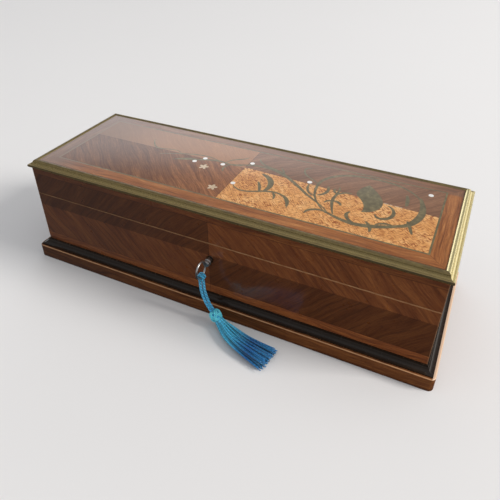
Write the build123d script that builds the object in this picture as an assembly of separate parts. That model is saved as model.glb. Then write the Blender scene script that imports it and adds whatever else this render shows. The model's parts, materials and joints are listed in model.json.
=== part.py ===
"""Antique glove box: a long, low veneered box with a hinged, brass-edged lid.

Millimetres. X runs along the length, the front faces -Y and +Z is up. The origin is the
middle of the flat face that the box rests on. The lid is closed and unlocked, with the key
in its lock and a silk tassel hanging from the key's bow.
"""

from build123d import *
from math import cos, pi, radians, sin, sqrt, tan
import os

os.makedirs("parts", exist_ok=True)

# ---------------------------------------------------------------- driving sizes, in mm

# The case, measured over its veneers
body_length = 296.0
body_depth = 98.8
plinth_height = 10.4
box_height = 47.2
lid_height = 26.25
seam_gap = 0.15

# Boards, veneers and the light edging at the lid's seam
wall_board = 8.0
floor_board = 6.0
lid_board = 6.0
veneer = 0.9
rim_edging = 0.8
board_play = 0.05

# The plinth and the ebonised moulding that stands on it
plinth_margin = 6.8
plinth_edging = 2.5
plinth_corner = 3.5
plinth_arris = 0.7
base_moulding_width = 5.0
base_moulding_height = 4.4
base_moulding_lip = 0.8

# The front's quarter-matched veneer: its two joints and its level bands
front_joint_x = -0.6
front_joint_z = 47.4
front_low_band = 21.6
front_high_band = 74.2

# The brass moulding round the lid's top edge
moulding_width = 6.0
moulding_height = 4.8
moulding_overhang = 2.0
moulding_proud = 0.7
moulding_lip = 1.9
moulding_gap = 0.2

# The lid's top: banding, brass line and the quarter-matched field inside it
banding_end_width = 11.0
banding_front_width = 10.6
banding_back_width = 9.0
line_width = 1.2
cross_joint_x = -2.4
long_joint_left_y = 9.0
long_joint_middle_y = 10.4
long_joint_right_y = 4.6
inlay_play = 0.02
pearl_diameter = 3.4
flower_radius = 3.6

# Hinges
hinge_spacing = 170.0
hinge_length = 32.0
leaf_width = 6.4
leaf_thickness = 1.1
barrel_diameter = 3.2
pin_diameter = 1.5
pin_inset = 1.3
knuckle_gap = 0.2
hinge_play = 0.3
pin_play = 0.05
lid_travel = 100.0
stop_margin = 2.0
hinge_screw_head = 3.0
hinge_screw_shank = 1.3
hinge_screw_length = 6.6
hinge_screw_pitch = 10.5
screw_play = 0.05

# The lock in the front wall
lock_width = 40.0
lock_height = 26.0
lock_thickness = 5.4
lock_wall = 1.2
lock_selvage = 1.6
lock_selvage_length = 50.0
lock_flange = 3.8
lock_cap = 0.8
bolt_thickness = 2.0
bolt_throw = 4.0
bolt_side_play = 0.6
lock_screw_head = 2.8
lock_screw_shank = 1.2
lock_screw_length = 4.2
selvage_screw_length = 7.0
spring_strip = 0.4

# The link plate in the lid: two hooks that the bolt's fingers catch
link_length = 46.0
link_width = 5.4
link_thickness = 1.2
hook_drop = 7.8
hook_shank = 1.6
hook_toe = 4.0
hook_toe_height = 2.0
hook_thickness = 1.8
hook_pitch = 18.0
hook_first_x = -12.0
hook_slot_play = 0.5
finger_height = 2.4
finger_gap = 0.5
finger_riser = 3.0

# The key
key_drop = 13.8
shank_diameter = 3.6
key_bore_play = 0.08
drill_pin_diameter = 1.5
bit_radius = 4.6
bit_thickness = 1.5
bit_length = 2.5
key_reach = 12.0
bow_radius = 5.8
bow_wire_diameter = 1.4
collar_diameter = 4.8
collar_length = 1.3
key_end_play = 0.5
keyhole_diameter = 5.6
keyhole_rise = 0.3
keyhole_slot = 2.6

# The tassel: a looped cord, a bound head and a skirt of silk threads
cord_diameter = 2.2
cord_knot_gap = 0.3
tassel_head_diameter = 9.4
head_foot = 0.36
cord_end_depth = 0.13
skirt_neck = 6.0
skirt_neck_length = 1.4
skirt_gap = 0.3
floor_play = 0.3

# Padded silk lining
lining = 2.0
lining_play = 0.2
lining_rim = 2.6
floor_pad = 6.0
lid_pad = 6.0

# ---------------------------------------------------------------- places worked out from them

half_length = body_length / 2
half_depth = body_depth / 2
seam_z = plinth_height + box_height
lid_bottom = seam_z + seam_gap
lid_top = lid_bottom + lid_height
moulding_top = lid_top + moulding_proud
moulding_bottom = moulding_top - moulding_height
moulding_inner = moulding_width - moulding_overhang
panel_x = half_length - moulding_inner - moulding_gap
panel_y = half_depth - moulding_inner - moulding_gap
field_low_x = banding_end_width - panel_x
field_high_x = panel_x - banding_end_width
field_low_y = banding_front_width - panel_y
field_high_y = panel_y - banding_back_width
board_x = half_length - veneer
board_y = half_depth - veneer
inside_x = board_x - wall_board
inside_y = board_y - wall_board
wall_top = seam_z - rim_edging
lid_board_top = lid_top - veneer
lid_board_bottom = lid_board_top - lid_board
floor_top = plinth_height + floor_board
pin_y = half_depth - pin_inset
pin_z = seam_z + seam_gap / 2
barrel_radius = barrel_diameter / 2
stop_angle = (lid_travel + stop_margin) / 2
key_z = seam_z - key_drop
shank_radius = shank_diameter / 2
bow_y = -half_depth - key_reach
bow_wire = bow_wire_diameter / 2
knot_z = key_z - bow_radius
lock_back_y = -inside_y
lock_front_y = lock_back_y - lock_thickness
lock_plate_y = lock_back_y - lock_wall
lock_cap_y = lock_front_y + lock_cap
lock_low_z = seam_z - lock_height
bolt_y = (lock_cap_y + lock_plate_y) / 2


# ---------------------------------------------------------------- helpers

def block(x, y, z):
    """A box given by its low and high place along each axis."""
    size = [high - low for low, high in (x, y, z)]
    middle = [(high + low) / 2 for low, high in (x, y, z)]
    return Pos(*middle) * Box(*size)


def write(name, *solids):
    """One node's file. Several separate solids of one kind go in as a group."""
    shape = solids[0] if len(solids) == 1 else Compound(children=list(solids))
    export_step(shape, f"parts/{name}.step")


def mitred_side(profile, half_run, half_across, outward, inward, z):
    """A straight moulding along the front, with both ends cut on the corner's mitre.
    The profile's x is outward from the body's face and its y is up from z."""
    reach = half_run + outward
    end = Plane(origin=(reach, -half_across, z), x_dir=(0, -1, 0), z_dir=(-1, 0, 0))
    bar = extrude(end * profile, amount=2 * reach)
    plan = Polygon(
        (-reach, -half_across - outward),
        (reach, -half_across - outward),
        (half_run - inward, -half_across + inward),
        (inward - half_run, -half_across + inward),
        align=None,
    )
    height = profile.bounding_box().max.Y
    return bar & extrude(Pos(0, 0, z) * plan, amount=height)


def mitred_sides(profile, outward, inward, z):
    """The four sides of a moulding that runs round the body."""
    long_side = mitred_side(profile, half_length, half_depth, outward, inward, z)
    short_side = mitred_side(profile, half_depth, half_length, outward, inward, z)
    return {
        "front": long_side,
        "back": long_side.rotate(Axis.Z, 180),
        "left": short_side.rotate(Axis.Z, -90),
        "right": short_side.rotate(Axis.Z, 90),
    }


def flat_frame(outer, inner, z, thickness):
    """Four flat strips between two rectangles, each given as low x, high x, low y, high y."""
    def corners(rect):
        x0, x1, y0, y1 = rect
        return [(x0, y0), (x1, y0), (x1, y1), (x0, y1)]
    out, inn = corners(outer), corners(inner)
    strips = []
    for i in range(4):
        j = (i + 1) % 4
        strip = Polygon(out[i], out[j], inn[j], inn[i], align=None)
        strips.append(extrude(Pos(0, 0, z) * strip, amount=thickness))
    return strips


def screw_shape(head, shank, length, play=0.0):
    """A countersunk screw whose head lies at z = 0 and whose shank points down."""
    cone = (head - shank) / 2
    top, body = head / 2 + play, shank / 2 + play
    deep = length + play
    mouth = [(0, play), (top, play), (top, 0)] if play else [(0, 0), (top, 0)]
    outline = Polyline(*mouth, (body, -cone), (body, -deep), (0, -deep), close=True)
    return revolve(Plane.XZ * make_face(outline), Axis.Z)


def screw(head, shank, length):
    """The screw itself, with its driver slot."""
    slot = block((-head, head), (-head / 12, head / 12), (-head / 6, head))
    return screw_shape(head, shank, length) - slot


def hinge_places():
    return [-hinge_spacing / 2, hinge_spacing / 2]


def bevel_wedge(upward):
    """What is planed off the back edge of the box or lid, so that the lid opens and stops."""
    run = pin_inset + barrel_diameter
    rise = run * tan(radians(stop_angle))
    way = 1 if upward else -1
    middle = Plane(origin=(0, pin_y, pin_z), x_dir=(0, 1, 0), z_dir=(1, 0, 0))
    wedge = Polygon((0, 0), (run, -way * barrel_diameter), (run, way * rise), align=None)
    return extrude(middle * wedge, amount=half_length + 1, both=True)


def barrel_recesses():
    """Round clearance for the hinge barrels, cut from the box and from the lid."""
    room = [
        Pos(x, pin_y, pin_z) * Rot(0, 90, 0)
        * Cylinder(barrel_radius + hinge_play, hinge_length + 2 * hinge_play)
        for x in hinge_places()
    ]
    return room[0] + room[1]


def leaf_places(upper):
    """The three screws of each leaf, as locations with their heads in the seam."""
    z = lid_bottom if upper else seam_z
    turn = 180 if upper else 0
    y = pin_y - leaf_width / 2 - barrel_radius / 2
    return [
        Pos(x + step * hinge_screw_pitch, y, z) * Rot(turn, 0, 0)
        for x in hinge_places() for step in (-1, 0, 1)
    ]


def hinge_screw_holes(upper):
    hole = screw_shape(hinge_screw_head, hinge_screw_shank, hinge_screw_length, screw_play)
    holes = [place * hole for place in leaf_places(upper)]
    return Part() + holes


def leaf_mortises(upper):
    """The shallow pockets that a pair of hinge leaves is let into."""
    z = (lid_bottom - 1, lid_bottom + leaf_thickness) if upper else (seam_z - leaf_thickness, seam_z + 1)
    half = hinge_length / 2 + board_play
    pockets = [
        block((x - half, x + half), (pin_y - leaf_width - board_play, pin_y), z)
        for x in hinge_places()
    ]
    return pockets[0] + pockets[1]


def keyhole(y_low, y_high, extra=0.0):
    """The keyhole's round and its slot, as a solid along Y."""
    round_z = key_z + keyhole_rise
    start = Plane(origin=(0, y_low, 0), x_dir=(1, 0, 0), z_dir=(0, -1, 0))
    eye = Pos(0, round_z) * Circle(keyhole_diameter / 2 + extra)
    foot = key_z - bit_radius - keyhole_rise - extra
    half = keyhole_slot / 2 + extra
    slot = Polygon((-half, foot), (half, foot), (half, round_z), (-half, round_z), align=None)
    return extrude(start * (eye + slot), amount=y_low - y_high)


# ---------------------------------------------------------------- plinth and base moulding

def make_plinth():
    half_x = half_length + plinth_margin
    half_y = half_depth + plinth_margin
    core_x = half_x - plinth_edging
    core_y = half_y - plinth_edging
    write("plinth_board", block((-core_x, core_x), (-core_y, core_y), (0, plinth_height)))

    outer = extrude(RectangleRounded(2 * half_x, 2 * half_y, plinth_corner), amount=plinth_height)
    outer = fillet(outer.faces().sort_by(Axis.Z)[-1].edges(), plinth_arris)
    strip = Polygon(
        (plinth_margin - plinth_edging, 0),
        (plinth_margin, 0),
        (plinth_margin, plinth_height),
        (plinth_margin - plinth_edging, plinth_height),
        align=None,
    )
    sides = mitred_sides(strip, plinth_margin, plinth_edging - plinth_margin, 0)
    write("plinth_edging", *[side & outer for side in sides.values()])


def make_base_moulding():
    """An ebonised scotia: a small square lip, a hollow and a narrow top."""
    width, height, lip = base_moulding_width, base_moulding_height, base_moulding_lip
    low, high = (width, lip), (lip, height)
    hollow = (lip + (width - lip) * 0.30, lip + (height - lip) * 0.30)
    outline = Polyline((lip, height), (0, height), (0, 0), (width, 0), low)
    profile = make_face(outline.edges() + [ThreePointArc(low, hollow, high)])
    for side, solid in mitred_sides(profile, width, 0, plinth_height).items():
        write(f"base_moulding_{side}", solid)


# ---------------------------------------------------------------- the box

def make_box_walls():
    z = (plinth_height, wall_top)
    front = block((-board_x, board_x), (-board_y, -inside_y), z)
    front -= lock_pocket() + keyhole(-half_depth - 1, lock_front_y + 1)
    write("box_wall_front", front)

    back = block((-board_x, board_x), (inside_y, board_y), z)
    back -= leaf_mortises(False) + barrel_recesses() + bevel_wedge(False)
    back -= hinge_screw_holes(False)
    write("box_wall_back", back)

    for name, x in (("left", (-board_x, -inside_x)), ("right", (inside_x, board_x))):
        write(f"box_wall_{name}", block(x, (-inside_y, inside_y), z))

    play = board_play
    floor = block((play - inside_x, inside_x - play), (play - inside_y, inside_y - play),
                  (plinth_height, floor_top))
    write("box_floor_board", floor)


def make_box_veneers():
    """Bookmatched leaves on the front above a level band, and plain leaves elsewhere."""
    y = (-half_depth, -board_y)
    hole = keyhole(-half_depth - 1, -board_y + 1)
    leaves = []
    for x in ((-half_length, front_joint_x), (front_joint_x, half_length)):
        for z in ((front_low_band, front_joint_z), (front_joint_z, wall_top)):
            leaves.append(block(x, y, z) - hole)
    leaves.append(block((-half_length, half_length), y, (plinth_height, front_low_band)))
    write("box_veneer_front", *leaves)

    z = (plinth_height, wall_top)
    back = block((-half_length, half_length), (board_y, half_depth), z)
    write("box_veneer_back", back - barrel_recesses() - bevel_wedge(False))
    for name, x in (("left", (-half_length, -board_x)), ("right", (board_x, half_length))):
        write(f"box_veneer_{name}", block(x, (-board_y, board_y), z) - bevel_wedge(False))


def make_rim_edging():
    """A light lipping on the box's top edge: the pale line under the lid."""
    outer = (-half_length, half_length, -half_depth, half_depth)
    inner = (-inside_x, inside_x, -inside_y, inside_y)
    front, right, back, left = flat_frame(outer, inner, wall_top, rim_edging)
    front -= lock_pocket()
    back -= leaf_mortises(False) + barrel_recesses() + bevel_wedge(False)
    back -= hinge_screw_holes(False)
    right -= bevel_wedge(False)
    left -= bevel_wedge(False)
    write("box_rim_edging", front, right, back, left)


# ---------------------------------------------------------------- the lock

def selvage_screw_places():
    y = (lock_front_y + lock_back_y) / 2
    x = (lock_selvage_length + lock_width) / 4
    return [Pos(side * x, y, seam_z) for side in (-1, 1)]


def plate_screw_places():
    x = lock_width / 2 + lock_flange / 2
    z = lock_low_z + lock_flange
    return [Pos(side * x, lock_back_y, z) * Rot(-90, 0, 0) for side in (-1, 1)]


def lock_screw_holes():
    top = screw_shape(lock_screw_head, lock_screw_shank, selvage_screw_length, screw_play)
    rear = screw_shape(lock_screw_head, lock_screw_shank, lock_screw_length, screw_play)
    holes = [place * top for place in selvage_screw_places()]
    holes += [place * rear for place in plate_screw_places()]
    return Part() + holes


def lock_outline(play=0.0):
    """The lock's outside: its case, its back plate and its selvage in the wall's top edge."""
    half = lock_width / 2 + play
    plate = half + lock_flange
    selvage = lock_selvage_length / 2 + play
    case = block((-half, half), (lock_front_y - play, lock_back_y), (lock_low_z - play, seam_z))
    back = block((-plate, plate), (lock_plate_y - play, lock_back_y), (lock_low_z - play, seam_z))
    top = block((-selvage, selvage), (lock_front_y - play, lock_back_y),
                (seam_z - lock_selvage - play, seam_z))
    return case + back + top


def lock_pocket():
    """The mortise for the lock, open at the wall's inside and at its top."""
    play = board_play
    half = lock_width / 2 + play
    plate = half + lock_flange
    selvage = lock_selvage_length / 2 + play
    rear = lock_back_y + 1
    case = block((-half, half), (lock_front_y - play, rear), (lock_low_z - play, seam_z + 1))
    back = block((-plate, plate), (lock_plate_y - play, rear), (lock_low_z - play, seam_z + 1))
    top = block((-selvage, selvage), (lock_front_y - play, rear),
                (seam_z - lock_selvage - play, seam_z + 1))
    return case + back + top + lock_screw_holes()


def hook_starts():
    """The right-hand face of each hook's shank."""
    return [hook_first_x, hook_first_x + hook_pitch]


def make_lock_case():
    half = lock_width / 2 - lock_wall
    room = block((-half, half), (lock_front_y - 1, lock_plate_y),
                 (lock_low_z + lock_wall, seam_z - lock_selvage))
    case = lock_outline() - room - lock_screw_holes()
    for x in hook_starts():
        slot = block(
            (x - hook_shank - hook_slot_play, x + hook_toe + hook_slot_play),
            (bolt_y - hook_thickness / 2 - hook_slot_play, bolt_y + hook_thickness / 2 + hook_slot_play),
            (seam_z - lock_selvage - 1, seam_z + 1),
        )
        case -= slot
    pin_hole = Pos(0, lock_back_y, key_z) * Rot(90, 0, 0)
    case -= pin_hole * Cylinder(drill_pin_diameter / 2 + board_play, 4 * lock_wall)
    write("lock_case", case)

    # The cap plate closes the case towards the front, inside its four walls
    edge = half - board_play
    cap = block((-edge, edge), (lock_front_y, lock_cap_y),
                (lock_low_z + lock_wall + board_play, seam_z - lock_selvage - board_play))
    write("lock_cap_plate", cap - keyhole(lock_front_y - 1, lock_cap_y + 1, board_play))

    reach = key_end_play + shank_diameter * 1.6
    pin = Cylinder(drill_pin_diameter / 2, lock_wall + reach)
    middle = lock_back_y - (lock_wall + reach) / 2
    write("lock_drill_pin", Pos(0, middle, key_z) * Rot(90, 0, 0) * pin)

    screws = [place * screw(lock_screw_head, lock_screw_shank, selvage_screw_length)
              for place in selvage_screw_places()]
    screws += [place * screw(lock_screw_head, lock_screw_shank, lock_screw_length)
               for place in plate_screw_places()]
    write("lock_screws", *screws)


def make_lock_bolt():
    """A sliding plate. The key's bit turns in its talon and its two fingers catch the hooks."""
    tip = hook_toe + finger_gap
    first, last = [x + tip for x in hook_starts()]
    finger_low = seam_z - hook_drop + hook_toe_height + finger_gap
    bar_top = seam_z - hook_drop - hook_thickness / 3
    eye = shank_radius + finger_gap
    foot = key_z - bit_radius - finger_gap
    half = bolt_thickness / 2
    y = (bolt_y - half, bolt_y + half)
    left = first - 2 * finger_riser
    right = last + bolt_throw + finger_riser - finger_gap
    bolt = block((left, right), y, (key_z + eye, bar_top))
    bolt += block((left + finger_riser, right - finger_riser), y, (foot - bolt_thickness, bar_top))
    for x in (first, last):
        riser = x + bolt_throw - finger_gap
        bolt += block((riser, riser + finger_riser), y, (bar_top, finger_low + finger_height))
        bolt += block((x, riser + finger_riser), y, (finger_low, finger_low + finger_height))
    near = bit_thickness / 2 + bolt_side_play
    talon = block((-near - 1, near), (y[0] - 1, y[1] + 1), (foot, key_z))
    barrel = block((-near - 1, bolt_throw + eye), (y[0] - 1, y[1] + 1), (key_z - eye, key_z + eye))
    write("lock_bolt", bolt - talon - barrel)

    # A bowed strip under the bolt, which holds it where the key leaves it
    low = lock_low_z + lock_wall
    high = foot - bolt_thickness - hinge_play
    half_span = lock_width / 2 - 2 * lock_wall
    plane = Plane(origin=(0, bolt_y + half, 0), x_dir=(1, 0, 0), z_dir=(0, -1, 0))
    upper = ThreePointArc((-half_span, low + spring_strip), (0, high), (half_span, low + spring_strip))
    lower = ThreePointArc((-half_span, low), (0, high - spring_strip), (half_span, low))
    ends = [Line(upper @ 0, lower @ 0), Line(upper @ 1, lower @ 1)]
    strip = make_face([upper, lower] + ends)
    write("lock_spring", extrude(plane * strip, amount=bolt_thickness))


def make_link_plate():
    """The plate in the lid's front edge, with its two hooks turned down."""
    half = link_length / 2
    y = (bolt_y - link_width / 2, bolt_y + link_width / 2)
    plate = block((-half, half), y, (lid_bottom, lid_bottom + link_thickness))
    hook_y = (bolt_y - hook_thickness / 2, bolt_y + hook_thickness / 2)
    low = seam_z - hook_drop
    for x in hook_starts():
        plate += block((x - hook_shank, x), hook_y, (low, lid_bottom))
        plate += block((x - hook_shank, x + hook_toe), hook_y, (low, low + hook_toe_height))
    write("lock_link_plate", plate - link_screw_holes())


def link_screw_places():
    x = link_length / 2 - lock_screw_head
    return [Pos(side * x, bolt_y, lid_bottom) * Rot(180, 0, 0) for side in (-1, 1)]


def link_screw_holes():
    hole = screw_shape(lock_screw_head, lock_screw_shank, selvage_screw_length, screw_play)
    return Part() + [place * hole for place in link_screw_places()]


def link_pocket():
    half = link_length / 2 + board_play
    across = link_width / 2 + board_play
    pocket = block((-half, half), (bolt_y - across, bolt_y + across),
                   (lid_bottom - 1, lid_bottom + link_thickness))
    return pocket + link_screw_holes()


# ---------------------------------------------------------------- key and tassel

def make_key():
    tip_y = lock_plate_y - key_end_play
    shank_end = bow_y + bow_radius
    length = tip_y - shank_end
    along = Rot(90, 0, 0)
    shank = Pos(0, (tip_y + shank_end) / 2, key_z) * along * Cylinder(shank_radius, length)
    for y in (shank_end + collar_length * 0.8, shank_end + collar_length * 2.6):
        ring = Cylinder(collar_diameter / 2, collar_length)
        ring = fillet(ring.edges(), collar_length * 0.35)
        shank += Pos(0, y, key_z) * along * ring
    bow = Pos(0, bow_y, key_z) * Rot(0, 90, 0) * Torus(bow_radius, bow_wire)
    half = bit_thickness / 2
    bit = block((-half, half), (bolt_y - bit_length / 2, bolt_y + bit_length / 2),
                (key_z - bit_radius, key_z))
    bore_depth = key_end_play + shank_diameter * 2.1
    bore = Cylinder(drill_pin_diameter / 2 + key_bore_play, bore_depth)
    bore = Pos(0, tip_y + key_end_play / 2 - bore_depth / 2, key_z) * along * bore
    write("key", shank + bow + bit - bore)


def knot_radius():
    return bow_wire + cord_diameter


def make_tassel_knot():
    """The cord's two turns round the bow, which stay on the key."""
    turn = Torus(bow_wire + cord_diameter / 2, cord_diameter / 2 - 0.02)
    turns = [Pos(0, bow_y + side * cord_diameter / 2, knot_z) * Rot(90, 0, 0) * turn for side in (-1, 1)]
    write("tassel_knot", *turns)


# The cord's route, from the knot to the foot of the head, as x, y, z from the knot's middle
cord_route = [
    (0.0, 0.0, 0.0),
    (0.2, -0.1, -5.4),
    (1.2, -0.4, -11.0),
    (3.6, -1.0, -16.7),
    (7.6, -1.9, -21.9),
    (12.6, -3.0, -26.6),
]
strand_side = (0.87, 0.50, 0.0)


def strand_points(side):
    """One strand's route: the cord's, moved half a diameter to its side."""
    start = Vector(0, bow_y, knot_z - knot_radius() - cord_knot_gap)
    aside = Vector(*strand_side) * (side * (cord_diameter / 2 + 0.02))
    return [start + aside + Vector(*point) for point in cord_route]


def fillet_radii(points):
    """The largest arc that each corner's two runs allow."""
    radii = []
    for before, here, after in zip(points, points[1:], points[2:]):
        run_in, run_out = here - before, after - here
        turn = run_in.get_angle(run_out)
        shorter = min(run_in.length, run_out.length)
        radii.append(0.45 * shorter / tan(radians(turn / 2)))
    return radii


def make_cord(name, side):
    points = strand_points(side)
    radii = fillet_radii(points)
    path = FilletPolyline(*points, radius=radii)
    section = Plane(origin=points[0], z_dir=points[1] - points[0]) * Circle(cord_diameter / 2)
    tube = sweep(section, path=path)
    ideal = pi * cord_diameter ** 2 / 4 * path.length
    print(name, "length", round(path.length, 2), "radii", [round(r, 1) for r in radii],
          "volume ratio", round(tube.volume / ideal, 4))
    write(name, tube)


# The skirt's sections from the head to the threads' ends: how far each lies from the skirt's
# start along x and y, then its width and its depth
skirt_sections = [
    (12.6, -6.6, 13.0, 6.6),
    (26.0, -10.6, 16.8, 5.6),
    (43.0, -12.4, 19.0, 4.4),
]
skirt_lifts = [1.6, 0.9, 0.0]


def head_foot_plane():
    """The plane at the head's foot, where the skirt starts."""
    start = Vector(0, bow_y, knot_z - knot_radius() - cord_knot_gap)
    last, before = [start + Vector(*point) for point in (cord_route[-1], cord_route[-2])]
    way = (last - before).normalized()
    return Plane(origin=last + way * (tassel_head_diameter * cord_end_depth), z_dir=way)


def make_tassel():
    make_cord("tassel_cord_left", -1)
    make_cord("tassel_cord_right", 1)

    foot = head_foot_plane()
    radius = tassel_head_diameter / 2
    centre = -tassel_head_diameter * head_foot
    rim = sqrt(radius ** 2 - centre ** 2)
    outline = [
        ThreePointArc((0, centre - radius), (radius, centre), (rim, 0)),
        Line((rim, 0), (0, 0)),
        Line((0, 0), (0, centre - radius)),
    ]
    half = make_face(sum([e.edges() for e in outline], ShapeList()))
    write("tassel_head", foot * revolve(Plane.XZ * half, Axis.Z))

    # The skirt leaves the head by a short neck and lies fanned out on the surface below
    neck = [foot.offset(skirt_gap), foot.offset(skirt_gap + skirt_neck_length)]
    sections = [plane * Circle(skirt_neck / 2) for plane in neck]
    foot = neck[0]
    middles = [neck[1].origin]
    for (x, y, width, depth), lift in zip(skirt_sections, skirt_lifts):
        middles.append(Vector(foot.origin.X + x, foot.origin.Y + y, depth / 2 + floor_play + lift))
    for i, (x, y, width, depth) in enumerate(skirt_sections, 1):
        run = (middles[min(i + 1, len(middles) - 1)] - middles[i - 1]).normalized()
        level = Vector(-run.Y, run.X, 0).normalized()
        plane = Plane(origin=middles[i], x_dir=level, z_dir=run)
        sections.append(plane * Ellipse(width / 2, depth / 2))
    write("tassel_skirt", loft(sections))


# ---------------------------------------------------------------- the lid

def make_lid_rails():
    z = (lid_bottom, lid_board_bottom)
    front = block((-board_x, board_x), (-board_y, -inside_y), z) - link_pocket()
    back = block((-board_x, board_x), (inside_y, board_y), z)
    back -= leaf_mortises(True) + barrel_recesses() + bevel_wedge(True)
    back -= hinge_screw_holes(True)
    write("lid_rail_front", front)
    write("lid_rail_back", back)
    for name, x in (("left", (-board_x, -inside_x)), ("right", (inside_x, board_x))):
        write(f"lid_rail_{name}", block(x, (-inside_y, inside_y), z))

    step = moulding_inner + board_play
    wide = block((-board_x, board_x), (-board_y, board_y), (lid_board_bottom, moulding_bottom))
    narrow = block((step - half_length, half_length - step), (step - half_depth, half_depth - step),
                   (lid_board_bottom, lid_board_top))
    write("lid_top_board", wide + narrow)


def make_lid_side_veneers():
    y = (-half_depth, -board_y)
    leaves = []
    for x in ((-half_length, front_joint_x), (front_joint_x, half_length)):
        leaves.append(block(x, y, (lid_bottom, front_high_band)))
    leaves.append(block((-half_length, half_length), y, (front_high_band, moulding_bottom)))
    write("lid_veneer_front", *leaves)
    z = (lid_bottom, moulding_bottom)
    back = block((-half_length, half_length), (board_y, half_depth), z)
    write("lid_veneer_back", back - barrel_recesses() - bevel_wedge(True))
    for name, x in (("left", (-half_length, -board_x)), ("right", (board_x, half_length))):
        write(f"lid_veneer_{name}", block(x, (-board_y, board_y), z) - bevel_wedge(True))


def make_edge_moulding():
    """Brass: a rounded rim inside, a hollow, and a small bead at the outer lip."""
    out, inn = moulding_overhang, -moulding_inner
    top, lip = moulding_height, moulding_lip
    rim = 3.0
    shoulder = top - 0.9
    bead = 0.65
    edge = [
        Polyline((inn, shoulder), (inn, 0), (out - 0.25, 0), (out, 0.4), (out, lip - bead)),
        ThreePointArc((out, lip - bead), (out - bead, lip), (out - 2 * bead, lip - 0.35)),
        Line((out - 2 * bead, lip - 0.35), (out - 2 * bead - 0.1, lip - 0.25)),
        ThreePointArc((out - 2 * bead - 0.1, lip - 0.25), (inn + rim + 0.55, lip + 0.45),
                      (inn + rim, shoulder - 0.1)),
        ThreePointArc((inn + rim, shoulder - 0.1), (inn + rim / 2, top), (inn, shoulder)),
    ]
    profile = make_face(sum([e.edges() for e in edge], ShapeList()))
    sides = mitred_sides(profile, out, moulding_inner, moulding_bottom)
    for side, solid in sides.items():
        write(f"edge_moulding_{side}", solid)


# How much of the field's length and depth the inlay's drawing may take up, and how far the
# drawing's middle is behind the middle of the lid. The drawing keeps its own proportions
drawing_share_x = 0.7869
drawing_share_y = 0.8814
drawing_rise = 0.8

# The brass scrolls on the lid's field. Each is a tapering stroke: its greatest width, then
# points along its middle, as x and y in mm from the lid's centre.
scrolls = [
    # the trunk, which runs to the left from the foot of the large scroll
    (2.6, [(70.5, -21.6), (58, -10.6), (50, -5.2), (42, 1.4), (35.5, 6.4), (28, 11.4), (18, 15.2),
           (6, 16.2), (-6, 12.6), (-14, 9.6)]),
    # the tall stem, which bends over into the large round scroll
    (2.4, [(68.5, -21), (60, -12.4), (55, -3.8), (53, 5), (53, 14), (57, 22.6), (65, 29.4), (76, 33),
           (88, 33.8), (100, 32.6), (110, 28.4), (117, 22.4), (121, 16)]),
    # the large scroll's right side and its foot
    (4.6, [(118.6, 22), (121.6, 13), (122.6, 3.4), (120.8, -5), (116.6, -12.6), (111, -16.6)]),
    (3.6, [(118, -10), (112, -15.6), (104, -20.2), (95, -23.4), (85, -24.6), (76, -22.8), (66, -18.6)]),
    (2.2, [(116, -8), (118.6, -14), (121, -20.6)]),
    (2.4, [(88, -24.4), (82.4, -21), (80.2, -16.4), (81.6, -12.6)]),
    (2.4, [(93, -19), (96.4, -23), (97.8, -28.6)]),
    (2.0, [(99, -20), (104, -16.6), (108.6, -16.4)]),
    (2.2, [(68, -20), (61.6, -19.4), (57.6, -21.8), (55.8, -26.4)]),
    # the stem's side shoots
    (1.7, [(55.6, -4.6), (50.2, -2), (47.6, 3), (47, 8.4)]),
    (2.4, [(56.4, -2.6), (60, 0.6), (61.2, 5.6), (59.6, 10.6)]),
    # the leafy stem
    (2.2, [(72.4, -20), (69, -11), (67.4, -3), (68, 5), (67, 13)]),
    (1.9, [(68.4, -6), (65.4, -6.4), (63.4, -9.4)]),
    (2.2, [(68, -5), (71.6, -5.6), (74.2, -8.6)]),
    (2.0, [(67.8, 2.6), (71.4, 6.8), (76.6, 8.6)]),
    (1.8, [(67.8, 4), (65.2, 6.6), (64.8, 10)]),
    # the curl inside the large scroll
    (2.6, [(101.4, 4), (105.6, 0.4), (106.6, -5.8), (103.4, -11.2), (98.8, -12.2), (96.4, -9)]),
    (2.6, [(110, 22), (111.6, 15), (112, 8.4)]),
    # the low branch on the left of the golden leaf
    (1.9, [(0.4, -14.6), (4, -18), (10, -19.2), (17, -16.8), (23, -13.8), (30, -12), (36, -13.4),
           (41, -18.6), (43.8, -25.8)]),
    (4.2, [(22.4, -14.2), (24, -7.6), (22.4, -0.8), (18.4, 4), (12.6, 7)]),
    (2.2, [(20, -15.2), (17.6, -9), (14.4, -4)]),
    (1.8, [(28.6, -12.4), (31, -15.4), (32.2, -20)]),
    (2.8, [(36, -13), (40.4, -17), (43.2, -24)]),
    # the shoots above the trunk
    (1.8, [(30, 10.2), (20, 16.4), (11, 18.6), (5.6, 21.6), (2.4, 26.4)]),
    (1.5, [(26.6, 12.6), (24.6, 17), (21.6, 20.4)]),
    (1.5, [(52.4, 10.6), (44, 16.6), (38.6, 22), (38.2, 28), (42, 28.6)]),
    # the trailing stems at the left
    (2.0, [(-4, 13.6), (-13, 9.4), (-22, 10.6), (-31, 9), (-40, 5.4), (-50, 1.4), (-57, -1.6)]),
    (2.6, [(-40, 6.2), (-47.6, 3.6), (-55, -0.6)]),
    (1.5, [(-24, 10.6), (-36, 13.2), (-48, 11), (-59, 7), (-70, 2)]),
    (1.3, [(-55, 8.8), (-66, 11.4), (-77, 9.6), (-82.6, 14), (-86.4, 20.6)]),
    (1.5, [(-18, 10.8), (-15.6, 16), (-9.6, 20.4), (-6, 25)]),
    (1.6, [(-14, 9.6), (-16.4, 4), (-14.6, -1.6)]),
]

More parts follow.
